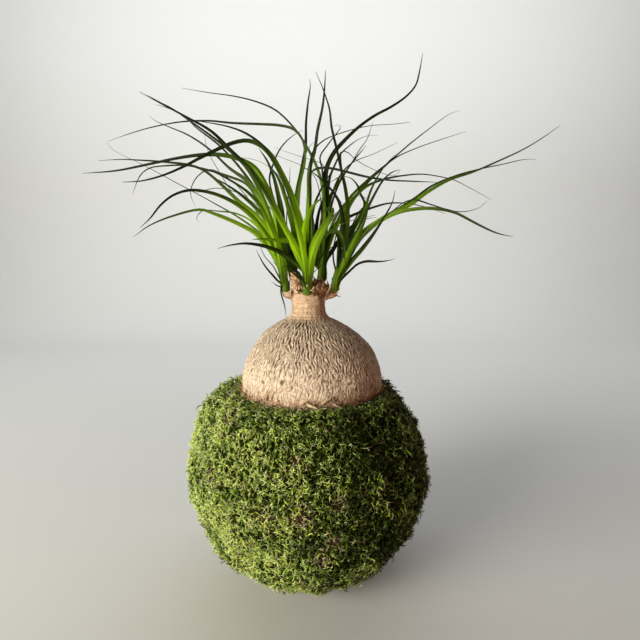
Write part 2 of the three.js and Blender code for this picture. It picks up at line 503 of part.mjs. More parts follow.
      leaf(3.4, 118, [10, 0], [-11.4, 224], [-16, 238], [-22, 248], [-29, 251], [-36, 247]),
      leaf(3.4, 70, [40, 20], [-12.4, 228], [-21, 246], [-33, 262], [-48, 272], [-62, 275], [-76, 272]),
    ],
  },
};

function shootBody({ foot, stalk: axis, radii, leaves }, trunk) {
  const base = new THREE.Vector3(...foot);
  const centres = [base, ...axis.map(([x, z]) => seen(x, z, base.y))];
  const bodies = [stalk(centres, radii)];
  leaves.forEach(({ wide, depth, turns, route }, index) => {
    // The foot of each leaf is sunk in the stalk, a little higher than the one before it
    const start = centres[0].clone().lerp(centres[2], 0.25 + 0.5 * ((index * 5) % 8) / 8);
    const flat = [[start.x, start.z], ...route];
    const reach = [0];
    for (let i = 1; i < flat.length; i += 1) {
      reach.push(reach[i - 1] + Math.hypot(flat[i][0] - flat[i - 1][0], flat[i][1] - flat[i - 1][1]));
    }
    const whole = reach[reach.length - 1];
    const points = route.map(([x, z], i) => {
      const share = (reach[i + 1] / whole) ** leafFlare;
      return seen(x, z, base.y + (depth - base.y) * share);
    });
    bodies.push(blade([start, ...points], wide, turns));
  });
  return joined(bodies).subtract(trunk);
}

// Colours and finish of each material
const finishes = {
  moss: { color: '#5f7a1f', roughness: 0.95, metalness: 0 },
  soil: { color: '#3a2a1d', roughness: 1, metalness: 0 },
  bark: { color: '#b39a7c', roughness: 0.85, metalness: 0 },
  leaf: { color: '#4c6b16', roughness: 0.5, metalness: 0 },
};

const plant = new THREE.Group();

function addNode(name, body, finish) {
  const mesh = new THREE.Mesh(geometryOf(mainBody(body)), new THREE.MeshStandardMaterial(finish));
  mesh.name = name;
  plant.add(mesh);
}

const trunk = trunkBody();
const trunkRoom = trunkBody(gap);
const soil = soilBody().subtract(trunkRoom);
const moss = mossBall().subtract(soilBody(gap)).subtract(trunkRoom);

addNode('moss_cover', moss, finishes.moss);
addNode('soil_ball', soil, finishes.soil);
addNode('trunk', trunk, finishes.bark);
for (const [name, shoot] of Object.entries(shoots)) {
  addNode(name, shootBody(shoot, trunkRoom), finishes.leaf);
}

export default plant;
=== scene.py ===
"""A ponytail palm grown as a kokedama, dressed over its CAD frame.

The swollen trunk stands in a ball of moss and carries five shoots of narrow arching leaves. Lengths
are metres, and millimetres where a name ends in mm or a comment says so. +Z is up and -Y faces the
viewer, as in the frame.
"""

import math

import bmesh
import bpy
import numpy as np
from bpy.props import FloatProperty, FloatVectorProperty, IntProperty, PointerProperty
from mathutils import Matrix, Vector


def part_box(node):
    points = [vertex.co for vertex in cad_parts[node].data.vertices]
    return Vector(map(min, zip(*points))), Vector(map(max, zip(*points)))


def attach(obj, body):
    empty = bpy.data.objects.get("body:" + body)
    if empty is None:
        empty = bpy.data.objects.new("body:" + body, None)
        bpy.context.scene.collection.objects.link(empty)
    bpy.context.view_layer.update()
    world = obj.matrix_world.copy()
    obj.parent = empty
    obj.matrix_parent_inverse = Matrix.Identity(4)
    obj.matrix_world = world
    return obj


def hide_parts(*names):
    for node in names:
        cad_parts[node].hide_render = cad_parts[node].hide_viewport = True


bl_info = {
    "name": "Ponytail palm kokedama",
    "version": (1, 0, 0),
    "blender": (4, 5, 0),
    "location": "View3D > Sidebar > Kokedama",
    "description": "Builds a ponytail palm in a moss ball, piece by piece, on a plain stage",
    "category": "Add Mesh",
}

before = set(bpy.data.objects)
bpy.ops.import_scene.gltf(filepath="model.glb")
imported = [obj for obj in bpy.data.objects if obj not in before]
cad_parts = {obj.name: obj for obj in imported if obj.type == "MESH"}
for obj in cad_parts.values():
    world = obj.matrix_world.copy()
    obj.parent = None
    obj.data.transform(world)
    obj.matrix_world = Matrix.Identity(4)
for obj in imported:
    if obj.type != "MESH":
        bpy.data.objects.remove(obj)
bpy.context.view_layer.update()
MM = 0.001

MOSS_LOW, MOSS_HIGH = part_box("moss_cover")
BALL_RADIUS = (MOSS_HIGH.x - MOSS_LOW.x) / 2
# Height of the middle of the moss ball, whose underside is pressed flat
BALL_CENTRE = 0.083

# The point that the routes below are seen from, in mm, and the camera's tilt in degrees and its lens
# in mm
EYE = np.array([8.0, -334.0, 228.0])
CAMERA_TILT = 7.3
CAMERA_LENS = 27.06

# Outline of the trunk in mm, radius and height, from the underside of the bulb up to the neck
BULB_MM = [
    (0.5, 95.5), (18, 97), (31, 100.5), (41, 109), (46.5, 120), (48.6, 131), (49, 143), (47, 154),
    (43, 163), (37.4, 171), (31, 177.2), (24.4, 181.9), (18.4, 185), (14.6, 187.2), (12.6, 189.8),
    (11.7, 193), (11.3, 197), (11.3, 202), (10.6, 205),
]
BULB_RADIUS_MM = 49
# How far the bulb stands to the right of the neck, the heights between which that goes, and where
# the moss meets the bark
TRUNK_LEAN_MM = 2.3
LEAN_TOP_MM = (165, 186)
MOSS_LINE_MM = 138

# Crown of the trunk in mm: lumps that carry the shoots (place, half sizes) and what is left of a
# shoot that was cut off
CROWN_LUMPS_MM = [
    ((0.0, 0.0, 200.0), (11.4, 11.2, 7.0)),
    ((-12.6, -2.4, 203.4), (5.2, 4.6, 3.3)),
    ((-14.6, -2.6, 204.6), (3.6, 3.4, 2.4)),
    ((-0.5, -6.6, 202.4), (5.2, 4.2, 3.2)),
    ((14.2, -2.4, 203.6), (5.6, 4.6, 3.6)),
    ((6.4, 6.0, 206.0), (5.6, 4.8, 6.0)),
    ((-7.6, 6.0, 205.0), (5.4, 4.8, 5.0)),
    ((-4.0, 1.0, 207.0), (6.0, 5.0, 5.5)),
    ((5.0, -1.5, 207.5), (6.5, 5.0, 6.0)),
    ((8.6, -4.6, 206.0), (4.6, 4.0, 6.6)),
    ((12.0, -3.6, 204.6), (4.0, 3.6, 5.2)),
]
CUT_STUB_MM = [((-6.4, -2.4, 202.0), 4.2), ((-8.4, -3.0, 211.0), 3.5), ((-9.5, -3.3, 219.0), 3.2)]

# Pits in the bark: place as seen, in mm, and how wide
PITS_MM = [
    ((-32.6, 140.7), 1.0), ((-19.1, 140), 1.3), ((11.6, 141.4), 1.0), ((-23.5, 153.1), 1.1),
    ((-27.5, 148.7), 0.8), ((-12, 136.3), 0.8), ((29.4, 139.3), 0.9), ((34.4, 135.6), 0.8),
]

# Patches of faded moss on the ball: place as seen, in mm, and how wide
FADED_MM = [
    ((-55, 113), 5), ((-69, 71), 6), ((-10, 79), 4), ((-33, 36), 6), ((-7, 36), 6),
    ((23, 48), 5), ((19, 20), 5), ((8, 5), 6),
]

# Leaves of each shoot, as its foot, its stalk and the stalk's radii, in mm. A leaf is its width in mm,
# the depth of its tip in mm behind the upright plane through the trunk, its turn in degrees at the
# foot and at the tip, its tone of painted light from 0 (dark, in shade) to 1 (lit yellow-green) and
# its route in mm. Routes and stalks are as seen from the eye point.
SHOOTS = {}
SHOOTS["shoot_left"] = {
    "foot": (-15.6, -3, 206),
    "stalk": [(-15.8, 209), (-16.6, 217), (-18.2, 226)],
    "radii": (2.9, 2.8, 2.6, 1.6),
    "leaves": [
        (4.2, -28, (75, 50), 0.92, [(-19.9, 221), (-25.7, 233), (-36.5, 245), (-50, 252.4),
            (-64.9, 258.4), (-73, 260.8), (-90.8, 257), (-107.8, 250.5), (-120, 242.5)]),
        (3.4, 34, (75, 20), 0.75, [(-19, 218), (-28, 240), (-39, 253), (-49.4, 258.2), (-60.2, 259.6),
            (-72, 260), (-76.2, 255), (-74.7, 252.7)]),
        (4.4, -58, (40, 80), 0.5, [(-19, 219), (-27, 240), (-36, 253.5), (-46.8, 263.3), (-57, 268.9),
            (-67.5, 272.4), (-80, 273.7), (-91, 270.6), (-100, 264.1), (-107.9, 254.9), (-114.8, 248.8)]),
        (3.8, 48, (80, 20), 0.4, [(-20, 228.4), (-24.8, 248), (-33, 264), (-42.3, 277.7), (-52, 282.1),
            (-67, 286.8), (-81.5, 289.8), (-95, 289.7), (-107, 288), (-113, 283.5), (-119, 271.3)]),
        (4, -14, (75, 25), 0.55, [(-21.4, 230.6), (-27.7, 246.6), (-36.7, 257.8), (-47, 266),
            (-60, 278.5), (-70, 286.5), (-79.6, 290.1), (-95, 292), (-110, 293.1), (-125, 293.8),
            (-140.6, 293.1)]),
        (3, 76, (60, 0), 0.3, [(-20, 224), (-27, 239), (-38.6, 249), (-49, 256.3), (-68.5, 267.6),
            (-91.8, 280.1), (-111.8, 290.8), (-124, 296.5), (-131, 300.5), (-134.5, 304.8)]),
        (4.6, 16, (80, 40), 0.65, [(-19.5, 222), (-24, 246), (-30.6, 264.5), (-40.3, 278.8), (-53, 288.1),
            (-66.4, 300.5), (-80.5, 309.7), (-93.8, 315.2), (-102.4, 319.2), (-105, 321.8)]),
        (4.4, 30, (80, 30), 0.6, [(-18.5, 219), (-22, 235), (-27.5, 254), (-35, 272), (-46, 288.3),
            (-60, 303.2), (-75, 314.6), (-82, 321.5), (-91, 326), (-100.5, 329)]),
        (4.2, -30, (80, 30), 0.7, [(-18, 220), (-22.5, 241), (-28.5, 262.5), (-36.8, 281), (-44.8, 292.1),
            (-60, 305.4), (-80, 319.5), (-89, 325.8), (-98, 330.5), (-106, 335)]),
        (4.8, -4, (85, 60), 0.7, [(-18, 222), (-20.2, 242), (-23.5, 263), (-29, 277), (-36, 288.5),
            (-46, 294), (-57.8, 296.8), (-71.5, 296.8), (-88, 294.6), (-105.7, 291), (-129.4, 286.5),
            (-152, 284.8)]),
        (2.6, 62, (60, 0), 0.3, [(-21, 226), (-27, 241), (-33, 250), (-42, 260), (-49, 268),
            (-56.4, 279.8), (-61.5, 288.5), (-65.2, 295.1), (-68.1, 303.1), (-69, 309.7)]),
        (3, 88, (60, 10), 0.25, [(-20, 224), (-27, 243), (-40, 267), (-53, 281), (-66, 287.2),
            (-74.5, 282.8), (-79.3, 274.4), (-79.2, 269), (-76.6, 263.2)]),
        (4.4, -70, (15, 25), 0.6, [(-18.5, 220), (-22, 238), (-27.6, 252.1), (-33.1, 263.7),
            (-40.3, 271.8), (-47.9, 277.3), (-55.2, 281.5), (-63.8, 285.6), (-70, 286.6)]),
        (1.8, -6, (40, 0), 0.1, [(-17.4, 211), (-20, 214), (-24.2, 222.3), (-30.4, 229.8), (-33.4, 238),
            (-33.8, 241)]),
        (1.6, -34, (40, 0), 0.1, [(-17, 209.6), (-20.4, 211.6), (-24.2, 215.7), (-30, 222.7),
            (-34.4, 230.6), (-35.9, 234)]),
        (1.5, -12, (30, 0), 0.1, [(-17.4, 208.6), (-20.5, 208.5), (-22.5, 209.5), (-25.6, 212.4)]),
        (1.8, 18, (30, 0), 0.3, [(-18.6, 216), (-21, 221.5), (-25, 226.7)]),
        (3, -12, (80, 90), 0, [(-18.4, 209.5), (-19, 206), (-18.4, 202), (-16.6, 196), (-15.8, 187)]),
        (4.4, -60, (15, 22), 0.5, [(-16.4, 215.7), (-18.7, 229.4), (-22.7, 241.9), (-29.4, 254.4),
            (-37.9, 263.9), (-47.9, 272.4), (-56.4, 278), (-64, 282.2)]),
        (3.6, 104, (20, 10), 0.5, [(-16.5, 216), (-17.5, 232), (-20, 250), (-24, 264), (-29, 271),
            (-35, 272)]),
    ],
}
SHOOTS["shoot_front"] = {
    "foot": (-0.5, -9.5, 205),
    "stalk": [(-0.4, 208), (-0.6, 215), (-0.6, 223)],
    "radii": (3.8, 3.6, 3.2, 2),
    "leaves": [
        (5.4, -42, (45, 62), 0.9, [(-1.2, 216), (-2.2, 230), (-4.4, 246), (-8.3, 260.6), (-13, 273.5),
            (-18.3, 284.8), (-24.4, 295.7), (-32, 303), (-40.5, 306), (-50, 304.5), (-60, 300.6),
            (-72.3, 294.8), (-85, 288.5), (-98.8, 283.1), (-112.6, 279.8), (-125.7, 279)]),
        (4.2, -62, (25, 40), 0.6, [(-1, 217), (-3, 234), (-6.8, 254), (-12, 270.5), (-17.5, 282),
            (-24.6, 294.6), (-29.6, 302), (-36.2, 307.4), (-44.4, 312), (-54.6, 315.3), (-64.8, 317.2),
            (-74, 318.6)]),
        (4.6, -84, (28, 30), 0.6, [(-1.7, 213.7), (-5.6, 224.3), (-13.4, 242.4), (-22, 261.4),
            (-29, 273.5), (-38, 286.5), (-51.7, 299.6), (-64.5, 311.9), (-80, 320.6), (-100, 331),
            (-111, 337)]),
        (3.4, -34, (70, 50), 0.15, [(-0.1, 215.2), (-3.7, 220.1), (-12.5, 227.5), (-21.2, 233),
            (-29.9, 236.1), (-43, 238), (-52.7, 237), (-62.5, 234.7)]),
        (4.2, -36, (40, 105), 1, [(-0.7, 216), (-0.8, 227.4), (-1, 235.2), (-1.8, 238.3), (-5.7, 239.1),
            (-13.5, 239.8), (-23.2, 240.6), (-32, 241.2), (-38.8, 240.8)]),
        (5.4, -46, (-38, -38), 0.75, [(-0.6, 219), (-0.8, 236), (-0.4, 252), (0.6, 270), (0.9, 287.6),
            (4.4, 300), (6.1, 311.9), (9.5, 327.1), (11, 340), (11.6, 350.5)]),
        (3.2, -96, (60, 0), 0.4, [(1.2, 219), (1.5, 240), (1.6, 262), (1.8, 282), (3.4, 298.5),
            (10.3, 305.9), (19.7, 310), (30.6, 313.3), (42.3, 315.7), (54.5, 316.4), (67.6, 317.8)]),
        (5, -50, (-30, -50), 0.9, [(-2.4, 217), (-3.9, 235.2), (-3.5, 244.8), (-1.2, 254.4), (1.7, 261),
            (6, 266.2), (10.7, 269.1)]),
        (4.8, -58, (-30, -10), 0.42, [(0.1, 219), (1.4, 230), (5.6, 241.9), (11, 250.6), (16.4, 258.2),
            (16.6, 261.8), (13.2, 261.8), (9.6, 259.1)]),
        (4.4, -30, (50, 60), 0.25, [(1.8, 217), (4.6, 228), (8.6, 238.6), (14.9, 245.6), (18.6, 246.5),
            (21.6, 243.9), (23.6, 238.6), (24.9, 231), (25.4, 224)]),
        (3.6, -56, (60, 70), 0.3, [(1.2, 218), (2.6, 240), (1.6, 262), (0.6, 277), (1.6, 284.6),
            (6, 287.8), (15, 288), (26.7, 285.5), (40.3, 282.3), (54.7, 280.3), (70, 279.6), (87, 279)]),
        (2.6, -80, (50, 0), 0.5, [(2.2, 216), (5.4, 231), (10.6, 243.4), (17.3, 248.3), (28.7, 253.3),
            (37, 255.5), (45.5, 257.2)]),
        (2.4, -26, (40, 0), 0.2, [(-3.9, 213), (-6.5, 216.5), (-11, 220.6), (-15.4, 222.6), (-19, 222)]),
        (2.2, -40, (40, 0), 0.15, [(-3.4, 211.5), (-6.5, 214.6), (-12, 218.6), (-16, 220.6)]),
        (5, -76, (8, 8), 0.7, [(-2.6, 219), (-5.5, 228.4), (-10.6, 238.1), (-16.3, 248.7), (-23, 261),
            (-30.5, 274.2), (-36.1, 282.6), (-40.8, 290.1)]),
        (4.6, -66, (-38, -50), 0.5, [(0.8, 216), (1.9, 226), (5.2, 237), (10.2, 246.6), (15.4, 254.2),
            (19.4, 259.4)]),
        (4.4, -70, (-5, -8), 0.6, [(-1.6, 216), (-3, 228), (-5.4, 241), (-8.6, 255), (-12.8, 269),
            (-17.6, 281)]),
        (2, -34, (40, 0), 0.15, [(2.3, 219.3), (6.1, 225.2), (10.9, 231.1), (16, 235.6), (21, 237.5)]),
        (1.8, -22, (40, 0), 0.1, [(3.1, 217.8), (7.1, 221.3), (12.1, 226.2), (16, 230.2)]),
        (4.6, -30, (50, 62), 0.6, [(-1.9, 217), (-4.6, 231), (-8.6, 244), (-12, 257), (-15.8, 270),
            (-20.4, 282), (-26.4, 291)]),
    ],
}
SHOOTS["shoot_right"] = {
    "foot": (18.2, -3.2, 207),
    "stalk": [(18.6, 210), (19.6, 217), (21, 226)],
    "radii": (3.2, 3.4, 3, 1.8),
    "leaves": [
        (4.4, -20, (80, 70), 0.35, [(22.5, 222), (26, 236), (27.7, 253.7), (26.2, 269.8), (23, 285),
            (18.8, 302.6), (15.8, 315), (14.5, 325.8), (11.6, 334.8), (9.1, 341.2), (5.1, 349.6)]),
        (4.4, -36, (80, 75), 0.1, [(23.5, 224), (29.8, 239.7), (35.6, 248.7), (39.9, 259.9), (45.3, 271),
            (50, 279.2), (54.6, 284.2), (58.6, 286.4), (61.8, 287.3)]),
        (3.2, 22, (75, 30), 0.4, [(22.4, 222), (25.6, 240), (27, 258), (25.6, 274), (22, 290),
            (22.4, 299), (26.6, 298.3), (31.6, 294), (39.4, 289.5), (50.5, 284.7), (58.7, 283.4),
            (62.2, 287)]),
        (4, -22, (75, 45), 0.92, [(21.6, 214.2), (26.8, 226.3), (32.5, 237.4), (41.3, 247.2), (51.5, 255),
            (61.8, 260.1), (71.2, 265.2), (80.6, 272.3), (95, 280.3), (110.6, 285.4), (125.4, 291.6),
            (144.2, 300.3), (157, 308), (168, 315.8)]),
        (3.4, 2, (75, 40), 0.4, [(22.6, 218), (29, 231), (37.5, 243.6), (50, 254.2), (62, 261.4),
            (72.8, 268.6), (82.9, 276.1), (100.4, 283.4), (116, 287.6), (131, 290.7), (145.8, 293.9),
            (153, 293.9)]),
        (4.6, -52, (80, 85), 0.95, [(22.4, 216), (30.3, 233.2), (37.7, 245.2), (49.4, 253.5),
            (60.6, 258.8), (74.5, 261.4), (88, 261.4), (100, 258.8), (110, 254), (119.5, 249.2),
            (129.8, 244.9), (140, 242.8)]),
        (3.4, -84, (70, 10), 0.3, [(22.6, 217), (31, 234), (42, 247.6), (57.4, 259.9), (65.1, 265.7),
            (72, 267.2), (84.3, 263.8), (98.8, 259.7), (108, 259.7), (116.5, 262.4), (121.2, 266.8)]),
        (4.6, -70, (80, 85), 0.15, [(23.2, 215.3), (30.1, 225.3), (37.8, 234.7), (45.5, 245.1),
            (52.3, 256), (57, 265), (58.8, 273.6)]),
        (3, -24, (60, 30), 0.05, [(21.4, 211), (28.8, 218.9), (34.7, 224.2), (40.4, 225.8), (48, 225.6),
            (56.2, 226.6), (59.4, 227.9)]),
        (4, 16, (70, 20), 0.4, [(21, 220), (23, 245), (28, 263), (38, 275), (50.4, 280.5), (66, 283.4),
            (77.2, 284.1), (88.4, 282.6), (98.8, 280.2), (109.7, 275), (124.2, 267.5)]),
        (3.8, 24, (-20, 30), 0.45, [(21.6, 222), (27, 240), (34, 254), (38.4, 264.6), (35.4, 271),
            (32.9, 277.4), (28.2, 281.9), (22, 282.6), (14.3, 278.6)]),
        (3.2, -6, (80, 50), 0.15, [(22, 221), (25.4, 237), (24.3, 249), (21.2, 265.2), (16.6, 272.8),
            (9.6, 280.1), (2.6, 285.7), (-2, 288.5)]),
        (3.4, 3, (80, 40), 0.6, [(20, 220), (21, 233), (18.9, 246), (16, 254.5), (12.8, 261),
            (10.4, 265)]),
        (3.8, -64, (-20, -25), 0.4, [(19.8, 213), (23.7, 221.6), (27.5, 231.3), (32.4, 241),
            (37.1, 250.6), (39.9, 259.1), (41, 264.8)]),
        (3.6, 18, (60, 20), 0.65, [(22.4, 222), (31, 240), (37.4, 255), (41.5, 270.6), (45.8, 280.5),
            (52, 290), (59, 297.6)]),
        (3.4, 100, (20, 0), 0.5, [(20.4, 218), (25, 236), (31, 252), (37, 262), (44, 264)]),
        (2.2, -8, (70, 40), 0.15, [(20.1, 219.3), (21.5, 227.2), (22, 235.1), (20.4, 241.9),
            (17.5, 246.3), (14, 248.7)]),
        (1.8, 12, (70, 40), 0.1, [(18.6, 219.3), (17, 227.2), (17.2, 235.1), (19, 243.9), (20.9, 250.7)]),
    ],
}
SHOOTS["shoot_back_right"] = {
    "foot": (8.6, 8.5, 212),
    "stalk": [(9, 217), (9.6, 224), (10, 231)],
    "radii": (3.2, 3.2, 2.8, 1.6),
    "leaves": [
        (4.8, 30, (85, 60), 0.2, [(9.6, 232), (10.6, 250), (11.6, 270), (12.3, 287), (17, 297.6),
            (24.7, 306.3), (34.5, 315.2), (45.2, 322.4), (54.3, 327), (65.2, 334.3), (71.2, 341.4),
            (73.4, 350.2), (75.2, 361.2)]),
        (3.4, 16, (60, 20), 0.4, [(9.2, 230), (10, 246), (10.4, 264), (8.5, 279.7), (5, 290.3),
            (1, 298.5), (-5.1, 308.5), (-13.6, 318.7), (-22.2, 325.8), (-34.8, 330.9), (-49.5, 334.3),
            (-64, 336.2), (-83.3, 339.4)]),
        (3, 60, (60, 10), 0.3, [(9.4, 230), (9.8, 252), (10.4, 272), (9.4, 287.6), (8, 295.5), (13, 303),
            (18.5, 310), (21.8, 314.8), (20, 316.2), (17, 315.4)]),
        (3.4, 80, (60, 10), 0.4, [(10.2, 232), (12.4, 258), (14.6, 282), (17.7, 289.5), (21.6, 297),
            (27.4, 302.4), (34.3, 307.1), (41, 309.4), (46.7, 309.4)]),
        (3.6, 44, (75, 30), 0.1, [(11, 228), (14, 240), (18.9, 250.4), (26.6, 255.2), (35.6, 259.1),
            (45.3, 262.6), (55.1, 265), (68.2, 264.8), (81.3, 262), (93.9, 258.1)]),
        (2.2, 100, (50, 0), 0.2, [(9, 232), (11, 256), (13, 276), (10.4, 290), (2.6, 293.5),
            (-4.3, 295.5), (-14.5, 298.8), (-23.2, 301.7)]),
        (3, 72, (50, 20), 0.2, [(8.6, 230), (9, 250), (8, 270), (4, 283), (-5.6, 290.3), (-14.7, 294),
            (-24, 297.5)]),
        (3.4, 22, (80, 70), 0.45, [(9.8, 230), (11.1, 248), (13, 265.2), (17.2, 273.6), (21.8, 280.8),
            (29.6, 291.8), (38.9, 302.8)]),
        (2.6, 52, (60, 10), 0.3, [(10, 228), (12.5, 250), (16, 270), (22, 284), (29.6, 291.6),
            (43.9, 297.4), (54.2, 302.2), (59.9, 305)]),
        (2, 90, (60, 10), 0.2, [(10.4, 230), (14, 256), (20, 276), (29, 291), (34.4, 300), (39.3, 306.7),
            (42.1, 314.5), (43.7, 319.4)]),
        (3, 58, (75, 30), 0.45, [(11.2, 228), (15.7, 244), (23.9, 259.1), (32.5, 270.2), (41.8, 280.6),
            (54.4, 292), (67.1, 303), (79.6, 312.7), (89.4, 320), (94.2, 323.1), (100.6, 325.3)]),
        (2.8, 44, (75, 30), 0.4, [(11.6, 226), (18, 247), (27.5, 267.5), (39.2, 279.4), (50.1, 288.6),
            (59.7, 295.4), (73.9, 301.6), (86.5, 305.9), (105.6, 312)]),
        (3.2, 34, (70, 20), 0.2, [(11.8, 226), (16.4, 233), (21.6, 241), (29, 249), (38, 254),
            (47, 256)]),
        (4.4, 112, (15, 0), 0.5, [(8.6, 226), (8, 242), (9.6, 256), (13, 266), (18, 269), (23.4, 265)]),
        (4.2, 124, (15, 0), 0.6, [(7.4, 226), (5, 240), (3.4, 252), (1.4, 262), (-1.6, 268)]),
        (3.8, 96, (15, 0), 0.5, [(10, 228), (14, 244), (20, 258), (27, 267), (35, 270), (43, 266)]),
        (3.6, 128, (10, 0), 0.4, [(9.4, 226), (12, 238), (16.5, 247), (22.5, 249.4), (28, 244)]),
        (3.2, 20, (70, 50), 0.5, [(10.6, 222), (11.3, 229.2), (12.6, 236.1), (14.5, 243.9), (16, 251.7)]),
        (3.4, 12, (28, 30), 0.1, [(7.2, 224), (6, 236), (5.6, 247), (6.8, 256.6), (9.6, 266.6),
            (13.4, 275)]),
        (3, 4, (-80, -80), 0.05, [(6, 222), (3.4, 238), (2, 251), (3.4, 262), (7.6, 272.4), (12.6, 281),
            (16, 286.4)]),
    ],
}
SHOOTS["shoot_back_left"] = {
    "foot": (-9.4, 8.5, 209.5),
    "stalk": [(-9.8, 214), (-10.4, 221), (-11, 228)],
    "radii": (3, 3, 2.6, 1.6),
    "leaves": [
        (5, 34, (5, 10), 0.45, [(-9.8, 236), (-8.6, 254), (-7.2, 273), (-3.8, 289.5), (-1.6, 302),
            (-1.2, 318), (0.2, 331), (1.7, 341.5), (1.1, 345)]),
        (3.6, 58, (70, 20), 0.35, [(-9.2, 234), (-8, 254), (-6.4, 276), (-2.4, 295), (-4.6, 307.6),
            (-10.6, 313.6), (-20, 315.8), (-29, 316.4), (-50, 317.2), (-66, 318.6), (-84, 318),
            (-105, 314.3), (-125, 308.5), (-134, 305.4)]),
        (3.2, 48, (70, 30), 0.4, [(-12, 232), (-17, 250), (-23.4, 268), (-26.2, 281), (-23.6, 290.6),
            (-18.7, 300.7), (-11.6, 308.1), (-3.6, 312.8)]),
        (2, 86, (50, 0), 0.3, [(-10.6, 230), (-12, 250), (-15.4, 272), (-19.2, 282.3), (-25.5, 288.5),
            (-34, 293.1), (-45, 295.1), (-56, 295)]),
        (4, 22, (85, 85), 0.05, [(-12.2, 232), (-14.8, 250), (-14, 268), (-12.6, 280), (-12, 289.5)]),
        (3.2, 30, (5, 20), 0.5, [(-9.4, 234), (-7.6, 256), (-5, 280), (-2, 296), (0.6, 301.6),
            (3.4, 304.9)]),
        (4.4, 112, (15, 0), 0.5, [(-11, 226), (-13.6, 242), (-17.4, 256), (-22, 264), (-27.4, 266)]),
        (4.2, 126, (15, 0), 0.6, [(-9.8, 226), (-8.4, 240), (-8.6, 253), (-11, 261), (-15, 262)]),
        (3.8, 92, (15, 0), 0.5, [(-11.6, 228), (-17, 246), (-26, 262), (-37, 270), (-48, 270)]),
        (3.4, 118, (10, 0), 0.4, [(-11.4, 224), (-16, 238), (-22, 248), (-29, 251), (-36, 247)]),
        (3.4, 70, (40, 20), 0.5, [(-12.4, 228), (-21, 246), (-33, 262), (-48, 272), (-62, 275),
            (-76, 272)]),
        (4.2, 14, (70, 70), 0, [(-13.4, 226), (-14.4, 234), (-15.6, 243.5), (-16.6, 252.6),
            (-17.2, 261.3), (-18.4, 269)]),
        (5.2, 24, (-66, -60), 0.45, [(-12.6, 224), (-15.4, 238), (-17.4, 250), (-18.8, 262), (-20.6, 272),
            (-23.4, 283), (-27.5, 293), (-33, 301)]),
    ],
}
# How late a leaf leaves its shoot's own depth
LEAF_FLARE = 1.3


# Shared geometry


def unit(vectors):
    """A vector, or every row of a table of vectors, at length 1."""
    return vectors / np.linalg.norm(vectors, axis=-1, keepdims=True)


def sight(x, z):
    """Unit vector from the eye point towards x, z of the upright plane, in mm."""
    return unit(np.array([x, 0.0, z]) - EYE)


def seen(x, z, depth):
    """A point in mm that looks to be at x, z of the upright plane and lies that deep behind it."""
    on_plane = np.array([x, 0.0, z])
    return EYE + (on_plane - EYE) * (depth - EYE[1]) / -EYE[1]


def smooth_path(points, step=None, count=None):
    """Points at equal distances along a smooth curve through the given points."""
    p = np.array(points, float)
    p = np.vstack([2 * p[0] - p[1], p, 2 * p[-1] - p[-2]])
    dense = []
    t = np.linspace(0, 1, 16, endpoint=False)[:, None]
    for a, b, c, d in zip(p[:-3], p[1:-2], p[2:-1], p[3:]):
        before, here, after = (max(np.linalg.norm(q) ** 0.5, 1e-4) for q in (b - a, c - b, d - c))
        leave = ((b - a) / before - (c - a) / (before + here) + (c - b) / here) * here
        arrive = ((c - b) / here - (d - b) / (here + after) + (d - c) / after) * here
        cubic = 2 * b - 2 * c + leave + arrive
        square = -3 * b + 3 * c - 2 * leave - arrive
        dense.append(b + t * (leave + t * (square + t * cubic)))
    dense = np.vstack([*dense, p[-2]])
    reach = np.concatenate([[0], np.cumsum(np.linalg.norm(np.diff(dense, axis=0), axis=1))])
    count = count or max(4, round(reach[-1] / step)) + 1
    at = np.linspace(0, reach[-1], count)
    return np.stack([np.interp(at, reach, dense[:, k]) for k in range(p.shape[1])], axis=1)


def waves(rng, points, lengths, amplitude):
    """Smooth lumps at points: a sum of plane waves of random headings, with lengths between the two
    given ones."""
    count = 14
    total = np.zeros(len(points))
    for _ in range(count):
        heading = unit(rng.normal(size=3))
        length = math.exp(rng.uniform(math.log(lengths[0]), math.log(lengths[1])))
        turn = rng.uniform(0, 2 * math.pi)
        total += np.sin(points @ heading * (2 * math.pi / length) + turn)
    return amplitude * (2 / count) ** 0.5 * total


def smoothstep(x, low, high):
    """Eases from 0 at low to 1 at high."""
    t = np.clip((x - low) / (high - low), 0, 1)
    return t * t * (3 - 2 * t)


def rows_of(mesh, kind):
    """The places (co) or the normals (normal) of a mesh's vertices."""
    out = np.empty(len(mesh.vertices) * 3)
    mesh.vertices.foreach_get(kind, out)
    return out.reshape(-1, 3)


def store(mesh, name, values):
    """Keeps a number or a vector a vertex on the mesh, for its material to read."""
    kind, field = ("FLOAT", "value") if np.ndim(values) == 1 else ("FLOAT_VECTOR", "vector")
    layer = mesh.attributes.get(name) or mesh.attributes.new(name, kind, "POINT")
    layer.data.foreach_set(field, np.asarray(values, np.float32).ravel())


def linked(name, data):
    """A new object of the scene with that mesh, lamp or camera."""
    obj = bpy.data.objects.new(name, data)
    bpy.context.scene.collection.objects.link(obj)
    return obj


def piece(name, mesh, look, slot, *nodes):
    """A finished piece of the plant. It stands for the CAD nodes named last."""
    old = bpy.data.objects.get(name)
    if old:
        bpy.data.objects.remove(old)
    mesh.materials.clear()
    mesh.materials.append(look)
    mesh.polygons.foreach_set("use_smooth", np.ones(len(mesh.polygons), bool))
    obj = linked(name, mesh)
    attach(obj, "root")
    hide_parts(*nodes)


def mesh_from(bm, name):
    """The mesh of a bmesh that is ready, with its faces outwards."""
    bmesh.ops.recalc_face_normals(bm, faces=bm.faces)
    mesh = bpy.data.meshes.new(name)
    bm.to_mesh(mesh)
    bm.free()
    return mesh


